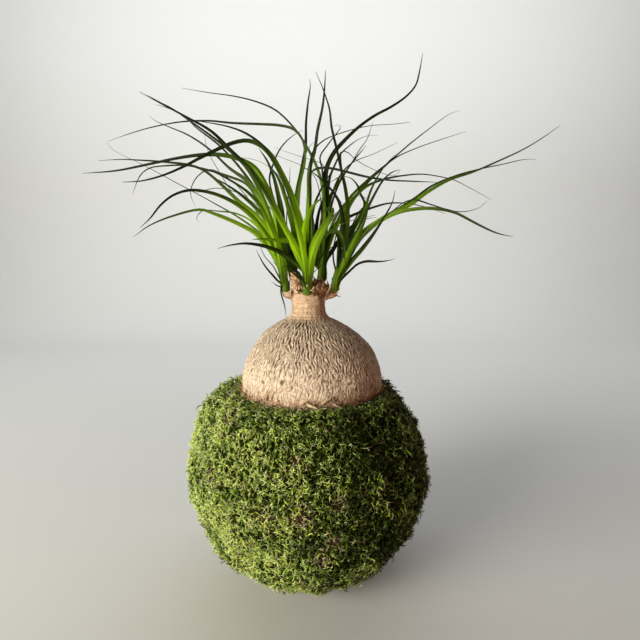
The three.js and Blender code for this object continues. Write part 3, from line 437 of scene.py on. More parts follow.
def turned(name, profile, steps):
    """A body turned round +Z from the radii and heights of its profile in mm, axis to axis."""
    bm = bmesh.new()
    verts = [bm.verts.new((r * MM, 0, z * MM)) for r, z in profile]
    edges = [bm.edges.new(pair) for pair in zip(verts, verts[1:])]
    bmesh.ops.spin(bm, geom=verts + edges, cent=(0, 0, 0), axis=(0, 0, 1), angle=2 * math.pi,
        steps=steps, use_merge=True)
    bmesh.ops.remove_doubles(bm, verts=bm.verts, dist=1e-6)
    return mesh_from(bm, name)


def tube(bm, centres, radii, sides):
    """A closed round stalk along points in metres. Returns its vertices, ring by ring."""
    centres = [Vector(c) for c in centres]
    along = [(b - a).normalized() for a, b in zip(centres, centres[1:])]
    along.append(along[-1])
    start = bmesh.ops.create_circle(bm, segments=sides, radius=radii[0])["verts"]
    turn = Vector((0, 0, 1)).rotation_difference(along[0]).to_matrix()
    bmesh.ops.rotate(bm, verts=start, cent=(0, 0, 0), matrix=turn)
    bmesh.ops.translate(bm, verts=start, vec=centres[0])
    edges = list({e for v in start for e in v.link_edges})
    rings = [start]
    first = edges
    for i in range(1, len(centres)):
        new = bmesh.ops.extrude_edge_only(bm, edges=edges)["geom"]
        ring = [g for g in new if isinstance(g, bmesh.types.BMVert)]
        edges = [g for g in new if isinstance(g, bmesh.types.BMEdge)]
        bmesh.ops.translate(bm, verts=ring, vec=centres[i] - centres[i - 1])
        turn = along[i - 1].rotation_difference(along[i]).to_matrix()
        bmesh.ops.rotate(bm, verts=ring, cent=centres[i], matrix=turn)
        grow = radii[i] / radii[i - 1]
        place = Matrix.Translation(-centres[i])
        bmesh.ops.scale(bm, verts=ring, vec=(grow, grow, grow), space=place)
        rings.append(ring)
    bmesh.ops.holes_fill(bm, edges=first + edges, sides=0)
    return rings


def strap(bm, path, across, half, cup, thickness, columns):
    """A thin closed leaf or husk. path and across are points and unit vectors at equal steps in
    metres, half its half width, cup how far its margins stand up, and thickness its own, at each
    step. Returns (vertex, share of the length, share of the half width) for every vertex."""
    rows = len(path) - 1
    grid = bmesh.ops.create_grid(bm, x_segments=columns, y_segments=rows, size=1)["verts"]
    up = unit(np.cross(np.gradient(path, axis=0), across))
    spots = []
    for vert in grid:
        u = vert.co.x
        i = round((vert.co.y + 1) / 2 * rows)
        spots.append((vert, i, u))
        vert.co = path[i] + across[i] * u * half[i] + up[i] * abs(u) ** 1.1 * cup[i]
    faces = list({f for v in grid for f in v.link_faces})
    below = {}
    skin = bmesh.ops.extrude_face_region(bm, geom=faces, use_keep_orig=True)["geom"]
    for vert in (g for g in skin if isinstance(g, bmesh.types.BMVert)):
        below[vert.co.to_tuple(7)] = vert
    out = []
    for vert, i, u in spots:
        under = below[vert.co.to_tuple(7)]
        drop = Vector(up[i] * thickness[i] * (1 - 0.6 * u * u))
        out += [(vert, i / rows, u), (under, i / rows, u)]
        under.co = under.co - drop
    return out


# Materials


def linear(code):
    """Turns an sRGB hex colour into the linear RGBA that shaders use."""
    parts = [int(code[i:i + 2], 16) / 255 for i in (1, 3, 5)]
    return (*(c / 12.92 if c <= 0.04045 else ((c + 0.055) / 1.055) ** 2.4 for c in parts), 1.0)


def add(tree, kind, inputs=None, stops=None, **settings):
    """Adds a shader node. inputs maps its sockets to values, sRGB hex colours, names of values that
    the mesh keeps or outputs of other nodes, stops are the places and colours of a ramp, and
    settings are the node's own."""
    node = tree.nodes.new("ShaderNode" + kind)
    for name, value in settings.items():
        setattr(node, name, value)
    for key, value in (inputs or {}).items():
        if isinstance(value, str) and value[0] != "#":
            value = add(tree, "Attribute", attribute_name=value).outputs["Fac"]
        if isinstance(value, bpy.types.NodeSocket):
            tree.links.new(value, node.inputs[key])
        else:
            node.inputs[key].default_value = linear(value) if isinstance(value, str) else value
    if stops:
        elements = node.color_ramp.elements
        while len(elements) < len(stops):
            elements.new(0.5)
        for element, (place, code) in zip(elements, stops):
            element.position = place
            element.color = linear(code)
    return node


def material(name):
    """An empty material and its node tree."""
    made = bpy.data.materials.get(name) or bpy.data.materials.new(name)
    made.use_nodes = True
    made.node_tree.nodes.clear()
    return made, made.node_tree


def finish(tree, colour, roughness, relief=None, depth_mm=0.0, strength=1.0, more=None):
    """Ends a material: its colour and roughness, a relief as deep as told, and what more there is to
    set on the shader's sockets."""
    inputs = {"Base Color": colour, "Roughness": roughness, **(more or {})}
    if relief is not None:
        bump = {"Height": relief, "Distance": depth_mm * MM, "Strength": strength}
        inputs["Normal"] = add(tree, "Bump", bump).outputs["Normal"]
    shader = add(tree, "BsdfPrincipled", inputs)
    add(tree, "OutputMaterial", {"Surface": shader.outputs["BSDF"]})


def per_mm(size_mm):
    """Scale of a pattern on Object coordinates, which are in metres, for features of that size."""
    return 1 / (size_mm * MM)


def grain(tree, size_mm, detail=2.0, stretch=(1, 1, 1)):
    """Mottling of the object's own coordinates, with features of about that size."""
    place = add(tree, "TexCoord").outputs["Object"]
    if stretch != (1, 1, 1):
        place = add(tree, "Mapping", {"Vector": place, "Scale": stretch}).outputs[0]
    wanted = {"Vector": place, "Scale": per_mm(size_mm), "Detail": detail, "Roughness": 0.55}
    return add(tree, "TexNoise", wanted).outputs["Fac"]


def laid_on(tree, under, over, where, *span):
    """Lays one colour on another as far as where says, which is a pattern or the name of a value that
    the mesh keeps. span is the two values that it runs between and the shares that they give, by
    default 0 and 1 for both."""
    sockets = ("From Min", "From Max", "To Min", "To Max")
    share = add(tree, "MapRange", {"Value": where, **dict(zip(sockets, span))}).outputs[0]
    # 6 and 7 are the node's sockets for colours
    both = add(tree, "Mix", {0: share, 6: under, 7: over}, data_type="RGBA")
    return both.outputs[2]


def moss_sprig_material(name, stops):
    """Living sheet moss. Its sprigs are darkest where they leave the felt, partly as painted shade deep
    in the moss, and palest at their tips, partly as painted highlights in place of glints, with the dull
    sheen of fine wet leaflets."""
    made, tree = material(name)
    colour = add(tree, "ValToRGB", {"Fac": "along"}, stops).outputs[0]
    # Painted light: sprigs of low tint are darkened and those of high tint paled, and tint follows random
    # patches as well as the painted light, brighter on the left and shaded on the right
    colour = laid_on(tree, colour, "#1d2602", "tint", 0.0, 0.45, 0.7, 0.0)
    colour = laid_on(tree, colour, "#d2e284", "tint", 0.6, 1.0, 0.0, 0.55)
    # Real leaflets are 0.3 mm and wouldn't show, so these are three times as large
    leaflets = grain(tree, 0.9, 1.0)
    colour = laid_on(tree, colour, "#161e02", leaflets, 0.35, 0.6, 0.35, 0.0)
    finish(tree, colour, 0.55, leaflets, 0.3, 0.6, {"Specular IOR Level": 0.05})
    return made


def moss_felt_and_shade_material():
    """The felt of old stems and soil dust under the living moss: dull brown-green, darkened nearly to
    black as painted shade in the gaps between the sprigs.
    """
    made, tree = material("moss felt and shade")
    stops = [(0.35, "#090e00"), (0.5, "#192402"), (0.62, "#304004"), (0.75, "#50601a")]
    colour = add(tree, "ValToRGB", {"Fac": grain(tree, 1.4, 4.0)}, stops).outputs[0]
    stems = laid_on(tree, "#140e04", "#5e4630", grain(tree, 1.0, 3.0))
    colour = laid_on(tree, colour, stems, "faded")
    finish(tree, colour, 0.95, grain(tree, 1.2, 3.0), 1.0, more={"Specular IOR Level": 0.05})
    return made


def bark_material():
    """Corky bark of a ponytail palm. Pale tan cork plates stand between dark cracks, whose darkness is
    partly painted shade, and their ridges carry a painted highlight; the shoulder is weathered greyer
    and the foot is rusty where the moss keeps it damp."""
    made, tree = material("corky bark")
    fine = grain(tree, 0.7, 3.0)
    colour = laid_on(tree, "#c2a98b", "#e2cdb0", grain(tree, 9.0, 3.0), 0.35, 0.65)
    colour = laid_on(tree, colour, "#b0906a", "bulb", 0.0, 1.0, 0.6, 0.0)
    colour = laid_on(tree, colour, "#a18b73", "weather")
    # Painted highlight on the ridges of the cork, stronger on the shoulder
    colour = laid_on(tree, colour, "#f6e4c8", "ridge", 0.0, 1.0, 0.0, 0.85)
    colour = laid_on(tree, colour, "#9a643a", "rust")
    # Wrinkles of the skin between the cracks, about 1.5 mm apart and three times as long
    place = add(tree, "Attribute", attribute_name="cork").outputs["Vector"]
    wrinkle = add(tree, "TexNoise",
        {"Vector": place, "Scale": per_mm(1.5), "Detail": 2.5, "Distortion": 0.4}).outputs["Fac"]
    off = add(tree, "Math", {0: wrinkle, 1: 0.5}, operation="SUBTRACT").outputs[0]
    off = add(tree, "Math", {0: off}, operation="ABSOLUTE").outputs[0]
    near = add(tree, "MapRange",
        {"Value": off, "From Max": 0.055, "To Min": 1.0, "To Max": 0.0}).outputs[0]
    crease_and_shade = add(tree, "Math", {0: near, 1: "bulb"}, operation="MULTIPLY").outputs[0]
    # The creases of the wrinkles are darkened, partly as painted shade in them
    colour = laid_on(tree, colour, "#6a4c34", crease_and_shade, 0.0, 1.0, 0.0, 0.4)
    colour = laid_on(tree, colour, "#f4e6cd", fine, 0.5, 0.7, 0.0, 0.6)
    colour = laid_on(tree, colour, "#7d5f45", fine, 0.3, 0.45, 0.45, 0.0)
    # Cracks and pits are darkened: partly the darker cork inside them, partly painted shade
    colour = laid_on(tree, colour, "#4a3220", "crack", 0.0, 1.0, 0.0, 0.82)
    colour = laid_on(tree, colour, "#8a6b4b", "scar")
    rough = add(tree, "Math", {0: fine, 1: crease_and_shade}, operation="SUBTRACT").outputs[0]
    finish(tree, colour, 0.82, rough, 0.3, more={"Specular IOR Level": 0.1})
    return made


def crown_material():
    """Young bark of the crown: smoother, peach tan, browning towards its dry upper edges."""
    made, tree = material("young bark")
    place = add(tree, "TexCoord").outputs["Object"]
    height = add(tree, "SeparateXYZ", {"Vector": place}).outputs["Z"]
    colour = laid_on(tree, "#b09070", "#cfb190", grain(tree, 4.0, 3.0), 0.35, 0.65)
    colour = laid_on(tree, colour, "#84603f", height, 206 * MM, 218 * MM, 0.0, 0.45)
    colour = laid_on(tree, colour, "#8a6b4b", "scar")
    torn = laid_on(tree, "#6e4629", "#c79c6b", grain(tree, 1.5, 3.0), 0.42, 0.62)
    colour = laid_on(tree, colour, torn, "rust")
    colour = laid_on(tree, colour, "#5a3d26", grain(tree, 1.6), 0.6, 0.72, 0.0, 0.6)
    finish(tree, colour, 0.75, grain(tree, 0.8, 3.0), 0.25)
    return made


def husk_material():
    """Dry papery bases of shed leaves: straw to rust brown, fibrous along their length."""
    made, tree = material("dry husk")
    stops = [(0.0, "#6a4228"), (0.35, "#96683f"), (0.7, "#bf9869"), (1.0, "#dcc7a0")]
    fibres = grain(tree, 0.8, stretch=(1, 1, 0.2))
    colour = add(tree, "ValToRGB", {"Fac": "tint"}, stops).outputs[0]
    colour = laid_on(tree, colour, "#4a2e1b", fibres, 0.4, 0.65, 0.45, 0.0)
    finish(tree, colour, 0.8, fibres, 0.2)
    return made


def leaf_material():
    """Leathery strap leaf, slightly waxy and thin enough for light to come through. It is pale where
    it leaves its sheath, yellow-green and then dull green along the blade, and brown at its tip. A lit
    and a shaded copy of these colours are mixed by each leaf's painted light, and both darken nearly to
    black on the outer blade as painted shade."""
    made, tree = material("palm leaf")
    lit = [(0.0, "#5c6a16"), (0.05, "#465f04"), (0.2, "#93bf00"), (0.32, "#7ea600"),
        (0.46, "#435e02"), (0.6, "#161f02"), (0.85, "#060902"), (1.0, "#1c150c")]
    dark = [(0.0, "#7c8c24"), (0.05, "#4c6606"), (0.16, "#385402"), (0.32, "#263b02"),
        (0.46, "#101a02"), (0.6, "#080d02"), (0.85, "#050702"), (1.0, "#171009")]
    # The dark ramp is the shaded copy and the lit ramp the lit one; tint holds each leaf's painted light
    deep, bright = (add(tree, "ValToRGB", {"Fac": "along"}, stops).outputs[0]
        for stops in (dark, lit))
    colour = laid_on(tree, deep, bright, "tint")
    # The middle line is a little paler
    off = add(tree, "Math", {0: "across"}, operation="ABSOLUTE").outputs[0]
    colour = laid_on(tree, colour, "#7d9622", off, 0.0, 0.2, 0.16, 0.0)
    # Veins run the whole length of the blade, about 0.3 mm apart
    lines = add(tree, "CombineXYZ", {"X": "across", "Y": "along"}).outputs[0]
    stretched = add(tree, "Mapping", {"Vector": lines, "Scale": (6, 1.2, 1)}).outputs[0]
    veins = add(tree, "TexNoise", {"Vector": stretched, "Scale": 2, "Detail": 2}).outputs[0]
    colour = laid_on(tree, colour, "#26360f", veins, 0.42, 0.62, 0.3, 0.0)
    finish(tree, colour, 0.48, veins, 0.12, 0.7, {
        "Specular IOR Level": 0.13, "Subsurface Weight": 0.6, "Subsurface Radius": (0.8, 1.0, 0.2),
        "Subsurface Scale": 0.5 * MM,
    })
    return made


def soil_material():
    """Damp peat and clay, crumbly and dark."""
    made, tree = material("peat and clay")
    finish(tree, laid_on(tree, "#22160e", "#4b3726", grain(tree, 3.0, 4.0)), 1.0)
    return made


def stage_material():
    """Matt pale studio paper."""
    made, tree = material("pale paper")
    finish(tree, "#dbdbd5", 0.9)
    return made


# Moss


# The right shoulder of the ball is pressed in: where, seen from the ball's centre, how deep and how
# wide. It also slopes more than the left, and all round the felt falls a little towards the trunk.
PRESSED_AT = (0.82, 0.0, 0.58)
PRESSED_MM = 4.5
PRESSED_WIDTH = 0.36
SLOPE_MM = 4.0
RIM_REACH_MM = 62
RIM_FALL = 0.1
# Radius of the hole for the trunk, and the room left round the soil
BORE_MM = 49.2
SOIL_GAP_MM = 0.3
# The moss begins to lean with the bulb between these heights
LEAN_FOOT_MM = (100, 125)
# Moss above this height is beside the trunk, and stands no nearer to its axis than so
COLLAR_MM = 110
TRUNK_CLEAR_MM = 48.8


def moss_surface(settings, directions, depth_mm=0.0):
    """Points in mm on the moss ball in those directions from its centre, and their normals."""
    rng = np.random.default_rng(settings.seed)
    radius = settings.mat_radius / MM
    lumps = waves(rng, directions * radius, (16, 45), settings.lump / MM)
    lumps += waves(rng, directions * radius, (7, 13), 0.6 * settings.lump / MM)
    off = np.linalg.norm(directions - PRESSED_AT, axis=1)
    lumps -= PRESSED_MM * np.exp(-(off / PRESSED_WIDTH) ** 2)
    points = directions * (radius - depth_mm + lumps)[:, None]
    points[:, 2] += BALL_CENTRE / MM
    reach = np.hypot(points[:, 0], points[:, 1])
    rim = settings.rim_height / MM - RIM_FALL * np.maximum(0, RIM_REACH_MM - reach)
    slope = SLOPE_MM * smoothstep(points[:, 0], 25, 75) * smoothstep(reach, 54, 72)
    top = rim + 0.35 * lumps - depth_mm - slope
    over = points[:, 2] - top
    points[:, 2] = np.clip(points[:, 2], 0.2, top)
    upward = smoothstep(over, -4, 3)[:, None]
    return points, unit(directions * (1 - upward) + np.array([0, 0, 1.0]) * upward)


def sphere_directions(count, rng):
    """Evenly strewn directions with a little disorder, each a golden turn on from the last."""
    i = np.arange(count) + 0.5
    z = 1 - 2 * i / count
    angle = i * math.pi * (1 + 5 ** 0.5)
    flat = np.sqrt(1 - z * z)
    out = np.stack([flat * np.cos(angle), flat * np.sin(angle), z], axis=1)
    return unit(out + rng.normal(scale=0.9 / count ** 0.5, size=out.shape))


def heading_of(lift, side):
    """Unit vector that rises by lift and turns sideways from +X by side, both in degrees."""
    up, turn = math.radians(lift), math.radians(side)
    return np.array([math.cos(up) * math.cos(turn), math.cos(up) * math.sin(turn), math.sin(up)])


def sprig_template(length, radius, rise, curl, droop, twigs):
    """One moss sprig in mm, lying along +X and rising along +Z, as vertices, the share of the
    length at each, and triangles. curl turns it sideways and droop brings its tip down again; a
    twig leaves it at a share of its length, turned sideways and up, and is as long as told."""
    middle = heading_of(rise * 0.75 - droop * 0.25, 0) * length * 0.5
    tip = middle + heading_of(rise * 0.25 - droop * 0.75, curl * 0.5) * length * 0.5
    stems = [([np.zeros(3), middle, tip], [0.8 * radius, radius, 0.12 * radius], [0, 0.5, 1])]
    for start, side, lift, long in twigs:
        foot = middle * min(start * 2, 1) + (tip - middle) * max(start * 2 - 1, 0)
        end = foot + heading_of(lift, side) * length * long
        stems.append(([foot, end], [0.8 * radius, 0.1 * radius], [start, 1]))
    bm = bmesh.new()
    share = bm.verts.layers.float.new("along")
    for path, thin, shares in stems:
        rings = tube(bm, path, thin, 3)
        for ring, value in zip(rings, shares):
            for vert in ring:
                vert[share] = value
        bmesh.ops.pointmerge(bm, verts=rings[-1], merge_co=Vector(path[-1]))
    bmesh.ops.triangulate(bm, faces=bm.faces)
    bmesh.ops.recalc_face_normals(bm, faces=bm.faces)
    bm.verts.index_update()
    verts = np.array([v.co[:] for v in bm.verts])
    along = np.array([v[share] for v in bm.verts])
    tris = np.array([[v.index for v in f.verts] for f in bm.faces])
    bm.free()
    return verts, along, tris


def strewn(name, templates, chosen, places, bases, sizes, tints_and_light):
    """One mesh of copies of the templates, each at its place in mm and as large and tinted as told.
    chosen says which template a copy is of, and bases hold its heading, side and upward vectors."""
    co, along, tint, tris = [], [], [], []
    offset = 0
    for k, (verts, share, faces) in enumerate(templates):
        mine = np.flatnonzero(chosen == k)
        if not len(mine):
            continue
        copies = np.einsum("nij,vi->nvj", bases[mine], verts) * sizes[mine, None, None]
        copies += places[mine, None, :]
        starts = offset + np.arange(len(mine)) * len(verts)
        co.append(copies.reshape(-1, 3))
        along.append(np.tile(share, len(mine)))
        tint.append(np.repeat(tints_and_light[mine], len(verts)))
        tris.append((faces[None] + starts[:, None, None]).reshape(-1, 3))
        offset += len(mine) * len(verts)
    co = np.vstack(co)
    co[:, 2] = np.maximum(co[:, 2], 0.1)
    tris = np.vstack(tris)
    mesh = bpy.data.meshes.new(name)
    mesh.vertices.add(len(co))
    mesh.vertices.foreach_set("co", (co * MM).astype(np.float32).ravel())
    mesh.loops.add(tris.size)
    mesh.loops.foreach_set("vertex_index", tris.astype(np.int32).ravel())
    mesh.polygons.add(len(tris))
    mesh.polygons.foreach_set("loop_start", np.arange(0, tris.size, 3, dtype=np.int32))
    store(mesh, "along", np.concatenate(along))
    store(mesh, "tint", np.concatenate(tint))
    mesh.update()
    return mesh


# Five colours of sprigs. Bright, green, deep and shade are partly moss of different tones and partly lit
# and shaded copies, set out by the painted light; faded is straw-coloured moss
MOSS_COLOURS = {
    "moss_tufts_bright": [(0.0, "#2a3600"), (0.3, "#8ca40e"), (0.65, "#cde25e"), (1.0, "#fdfed4")],
    "moss_tufts_green": [(0.0, "#121c00"), (0.3, "#58760a"), (0.65, "#98b83c"), (1.0, "#e6f0bc")],
    "moss_tufts_deep": [(0.0, "#080e00"), (0.3, "#2c3e02"), (0.65, "#5f7c1c"), (1.0, "#c8d696")],
    "moss_tufts_shade": [(0.0, "#040500"), (0.3, "#172202"), (0.65, "#38480e"), (1.0, "#98a272")],
    "moss_tufts_faded": [(0.0, "#4a3822"), (0.3, "#a4925e"), (0.65, "#d8cd9c"), (1.0, "#faf6de")],
}
# Moss sprigs: length and radius in mm, rise, sideways curl and droop in degrees, and twigs
GREEN_SPRIGS = [
    (5.9, 0.34, 44, 80, 35, [(0.3, -55, 30, 0.42), (0.6, 70, 5, 0.36)]),
    (5.3, 0.35, 52, -110, 15, [(0.25, 50, 45, 0.45), (0.55, -80, 20, 0.36)]),
    (6.6, 0.31, 36, 60, 30, [(0.35, 60, 20, 0.4), (0.6, -50, -10, 0.34)]),
    (4.6, 0.37, 60, 70, -10, [(0.3, -70, 40, 0.5), (0.5, 60, 50, 0.45)]),
    (5.8, 0.33, 40, -70, 40, [(0.4, 50, 40, 0.38), (0.65, -60, 10, 0.34)]),
    (4.2, 0.37, 72, -80, -20, [(0.25, 80, 30, 0.5), (0.5, -60, 40, 0.5)]),
    (6.2, 0.30, 30, 120, 10, [(0.3, -45, 30, 0.4), (0.5, 90, 30, 0.36)]),
    (5.2, 0.35, 48, 40, 50, [(0.3, 55, 15, 0.45), (0.6, -65, 25, 0.4)]),
]
FADED_SPRIGS = [
    (5.4, 0.31, 45, 70, 20, [(0.5, -60, 20, 0.4)]),
    (4.8, 0.32, 50, -90, 25, [(0.4, 70, 30, 0.4)]),
    (7.0, 0.27, 35, 50, 10, [(0.6, -50, 10, 0.3)]),
    (4.0, 0.34, 60, 40, 0, [(0.4, 60, 40, 0.5)]),
]


class MossSettings(bpy.types.PropertyGroup):
    mat_radius: FloatProperty(
        name="Felt radius", description="Radius of the felt that the moss sprigs stand on",
        default=BALL_RADIUS - 3.4 * MM, unit="LENGTH")
    rim_height: FloatProperty(
        name="Rim height", description="Height of the felt round the trunk",
        default=MOSS_HIGH.z - 4.4 * MM, unit="LENGTH")
    lump: FloatProperty(
        name="Lumps", description="How far cushions of moss stand out of the round",
        default=0.9 * MM, unit="LENGTH")
    sprigs: IntProperty(
        name="Sprigs", description="How many moss sprigs cover the ball", default=40500, min=1000)
    seed: IntProperty(name="Seed", description="Draw of the sprigs' places", default=11)


def faded_at(places, settings):
    """How far the moss has faded at places in mm: 0 is unfaded and 1 is straw and bare stems."""
    faded = np.zeros(len(places))
    to_centre = np.array([0, 0, BALL_CENTRE / MM]) - EYE
    for (x, z), wide in FADED_MM:
        # Where the line of sight meets the ball
        ray = sight(x, z)
        closest = ray @ to_centre
        miss = max(to_centre @ to_centre - closest ** 2, 0)
        spot = EYE + ray * (closest - math.sqrt(max((settings.mat_radius / MM) ** 2 - miss, 0)))
        faded += np.exp(-(np.linalg.norm(places - spot, axis=1) / wide) ** 2)
    # The sides that the photograph doesn't show have such patches too
    others = waves(np.random.default_rng(settings.seed + 3), places, (30, 60), 1.0)
    others = np.where(places[:, 1] > -20, smoothstep(others, 1.3, 2.2), 0)
    return np.clip(np.maximum(faded, others), 0, 1)


def moss_mat(settings):
    """The felt under the moss: a closed shell from the ball's skin down to the soil."""
    soil_low, soil_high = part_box("soil_ball")
    inner = (soil_high.x - soil_low.x) / 2 / MM + SOIL_GAP_MM
    shelf = soil_high.z / MM + SOIL_GAP_MM
    outer = settings.mat_radius / MM
    centre = BALL_CENTRE / MM

    def arc(radius, start, end, count):
        return [(max(radius * math.cos(a), 0.0), centre + radius * math.sin(a))
            for a in np.linspace(start, end, count)]

    # Up the skin, down the hole for the trunk and back along the room for the soil
    mesh = turned("moss_mat", [
        *arc(outer, -math.pi / 2, math.acos(BORE_MM / outer), 84), (BORE_MM, shelf + 4),
        (BORE_MM, shelf), *arc(inner, math.asin((shelf - centre) / inner), -math.pi / 2, 16),
    ], 140)
    co = rows_of(mesh, "co") / MM
    away = co - np.array([0, 0, centre])
    far = np.linalg.norm(away, axis=1)
    skin = far > outer - 1
    outward = away[skin] / far[skin, None]
    lain, _ = moss_surface(settings, outward)
    rng = np.random.default_rng(settings.seed + 1)
    lain += outward * waves(rng, lain, (3, 8), 0.5)[:, None]
    lain[:, 2] = np.maximum(lain[:, 2], 0)
    co[skin] = lain
    reach = np.hypot(co[:, 0], co[:, 1])
    co[:, 0] += TRUNK_LEAN_MM * smoothstep(co[:, 2], *LEAN_FOOT_MM) * (1 - smoothstep(reach, 52, 66))
    mesh.vertices.foreach_set("co", (co * MM).ravel())
    store(mesh, "faded", faded_at(co, settings))
    mesh.update()
    return mesh


def sprig_bases(rng, places, outward, beside):
    """Heading, side and upward vectors of the sprigs at places in mm. outward is the normal of the
    felt there, and beside says how near each is to the bark."""
    # Cushions share a heading, and each sprig strays from it
    count = len(places)
    east = unit(np.cross(outward, [0.3, 0.1, 1.0]))
    north = np.cross(outward, east)
    flow = waves(rng, places, (10, 30), 1.6) + rng.normal(scale=1.7, size=count)
    heading = east * np.cos(flow)[:, None] + north * np.sin(flow)[:, None]
    # Beside the bark they stand up and lean on it
    inward = places * [-1, -1, 0]
    inward /= np.linalg.norm(inward, axis=1)[:, None] + 1e-9
    heading = unit(heading + 0.8 * beside * inward)
    tilt = rng.normal(scale=0.42, size=count)[:, None] + 0.35 * beside
    heading = heading * np.cos(tilt) + outward * np.sin(tilt)
    side = unit(np.cross(outward, heading))
    return np.stack([heading, side, np.cross(heading, side)], axis=1)


def moss_sprigs(settings):
    """Every moss sprig on the ball, as one mesh for each colour."""
    rng = np.random.default_rng(settings.seed + 2)
    count = settings.sprigs
    places, outward = moss_surface(settings, sphere_directions(count, rng), 0.4)
    # Round the trunk they stand clear of the bark, and none grows on the flat spot
    lean = TRUNK_LEAN_MM * smoothstep(places[:, 2], *LEAN_FOOT_MM)
    from_trunk = np.hypot(places[:, 0] - lean, places[:, 1])
    collar = places[:, 2] > COLLAR_MM
    keep = ~(collar & (from_trunk < TRUNK_CLEAR_MM)) & (places[:, 2] > 0.6)
    # Fewer stand where it has faded, and under the ball
    faded = faded_at(places, settings)
    keep &= rng.uniform(size=count) > 0.22 * faded + 0.5 * (places[:, 2] < 8)
    places, outward, from_trunk, collar, faded = (
        rows[keep] for rows in (places, outward, from_trunk, collar, faded))
    count = len(places)
    beside = (1 - smoothstep(from_trunk, 50, 54)) * collar
    bases = sprig_bases(rng, places, outward, beside[:, None])
    sizes = np.clip(np.exp(rng.normal(-0.05, 0.25, count)), 0.5, 1.45)
    # Painted light: the moss is made brighter on the left, where the key light falls, and darker on the
    # right, in its shade
    painted_light_side = 0.18 - 0.54 * smoothstep(places[:, 0], -40, 50)
    patch_and_light = waves(rng, places, (9, 26), 0.12) + waves(rng, places, (28, 60), 0.09) + painted_light_side
    tints_and_light = np.clip(0.5 + patch_and_light + rng.normal(scale=0.25, size=count), 0, 1)

    # The numbers are places in MOSS_COLOURS; random patches and the painted light on the left have more
    # of the bright ones, and the painted shade on the right more of the deep and shade ones
    draw = rng.uniform(size=count)
    group = np.select(
        [draw < 0.06 + 0.6 * faded, draw > 0.72 - patch_and_light, draw > 0.37 - patch_and_light, draw > 0.05 - patch_and_light],
        [4, 0, 1, 2], 3)
    made = []
    for k, name in enumerate(MOSS_COLOURS):
        mine = group == k
        shapes = FADED_SPRIGS if name == "moss_tufts_faded" else GREEN_SPRIGS
        templates = [sprig_template(*shape) for shape in shapes]
        chosen = rng.integers(len(templates), size=mine.sum())
        made.append((name, strewn(name, templates, chosen, places[mine], bases[mine],
            sizes[mine], tints_and_light[mine])))
    return made


class KOKEDAMA_OT_moss(bpy.types.Operator):
    """Lays the felt of the moss ball and strews its sprigs"""
    bl_idname = "kokedama.moss"
    bl_label = "Moss"

    def execute(self, context):
        settings = context.scene.kokedama_moss
        piece("moss_mat", moss_mat(settings), moss_felt_and_shade_material(), "moss", "moss_cover")
        for name, mesh in moss_sprigs(settings):
            label = name.replace("moss_tufts_", "moss ")
            piece(name, mesh, moss_sprig_material(label, MOSS_COLOURS[name]), "moss", "moss_cover")
        return {"FINISHED"}


# Trunk


class TrunkSettings(bpy.types.PropertyGroup):
    crack_depth: FloatProperty(
        name="Crack depth", description="Depth of the cracks between the plates of cork",
        default=0.58 * MM, unit="LENGTH")
    crack_spacing: FloatProperty(
        name="Crack spacing", description="Distance between cracks at the widest part of the bulb",
        default=2.0 * MM, unit="LENGTH")
    crack_length: FloatProperty(
        name="Crack length", description="How long a crack runs before it forks or ends",
        default=5.6 * MM, unit="LENGTH")
    ring_pitch: FloatProperty(
        name="Ring pitch", description="Distance between leaf scars on the neck",
        default=1.5 * MM, unit="LENGTH")
    sides: IntProperty(
        name="Sides", description="Steps round the trunk", default=600, min=60)
    seed: IntProperty(name="Seed", description="Draw of the cracks", default=5)


def crack_lines(rng, shape, cell_mm, spacing, length):
    """A field whose phase draws lines like those of a fingerprint, spacing mm apart and wavy over
    length mm. Rows run up the trunk and columns round it, and it closes on itself."""
    up = np.fft.fftfreq(shape[0], cell_mm[0])[:, None]
    around = np.fft.fftfreq(shape[1], cell_mm[1])[None, :]
    keep = np.exp(-(((around * spacing - 1) / 0.45) ** 2) - (up * length) ** 2)
    field = np.fft.ifft2(np.fft.fft2(rng.standard_normal(shape)) * keep)
    return field / np.sqrt(np.mean(np.abs(field) ** 2))


def sampled(field, rows, columns):
    """Reads a field between its cells; columns wrap round."""
    r = np.clip(rows, 0, field.shape[0] - 1.001)
    c = columns % field.shape[1]
    r0, c0 = r.astype(int), c.astype(int)
    fr, fc = r - r0, c - c0
    c1 = (c0 + 1) % field.shape[1]
    low = field[r0, c0] * (1 - fc) + field[r0, c1] * fc
    high = field[r0 + 1, c0] * (1 - fc) + field[r0 + 1, c1] * fc
    return low * (1 - fr) + high * fr


def cork_waves(rng, co, angle, reach, longest, settings):
    """The waves of the cork at points in mm, -1 in a crack and 1 on a ridge, and how plain they are,
    from 0 to 1. angle is each point's share of a turn and reach its way up the outline, which is
    longest long."""
    # They are drawn on cells, rows along the outline and columns round the bulb
    rows, columns = 640, 1280
    cell = (longest / rows, 2 * math.pi * BULB_RADIUS_MM / columns)
    spacing = settings.crack_spacing / MM
    length = settings.crack_length / MM
    radius = np.hypot(co[:, 0], co[:, 1])
    row = reach / cell[0]
    sway = waves(rng, co, (12, 30), 0.003) + waves(rng, co, (4, 9), 0.0013)
    column = (angle + sway) * columns
    # Nearer the neck fewer cracks go round, so that they don't crowd
    lines = 0
    for widest, narrowest, times in ((60, 38, 1.0), (38, 23, 1.6), (23, 0, 2.8)):
        layer = crack_lines(rng, (rows, columns), cell, spacing * times, length)
        share = smoothstep(radius, narrowest - 3, narrowest + 3)
        share *= 1 - smoothstep(radius, widest - 3, widest + 3)
        lines = lines + sampled(layer, row, column) * share
    strength = np.abs(lines)
    return np.real(lines) / np.maximum(strength, 1e-6), smoothstep(strength, 0.1, 0.9)


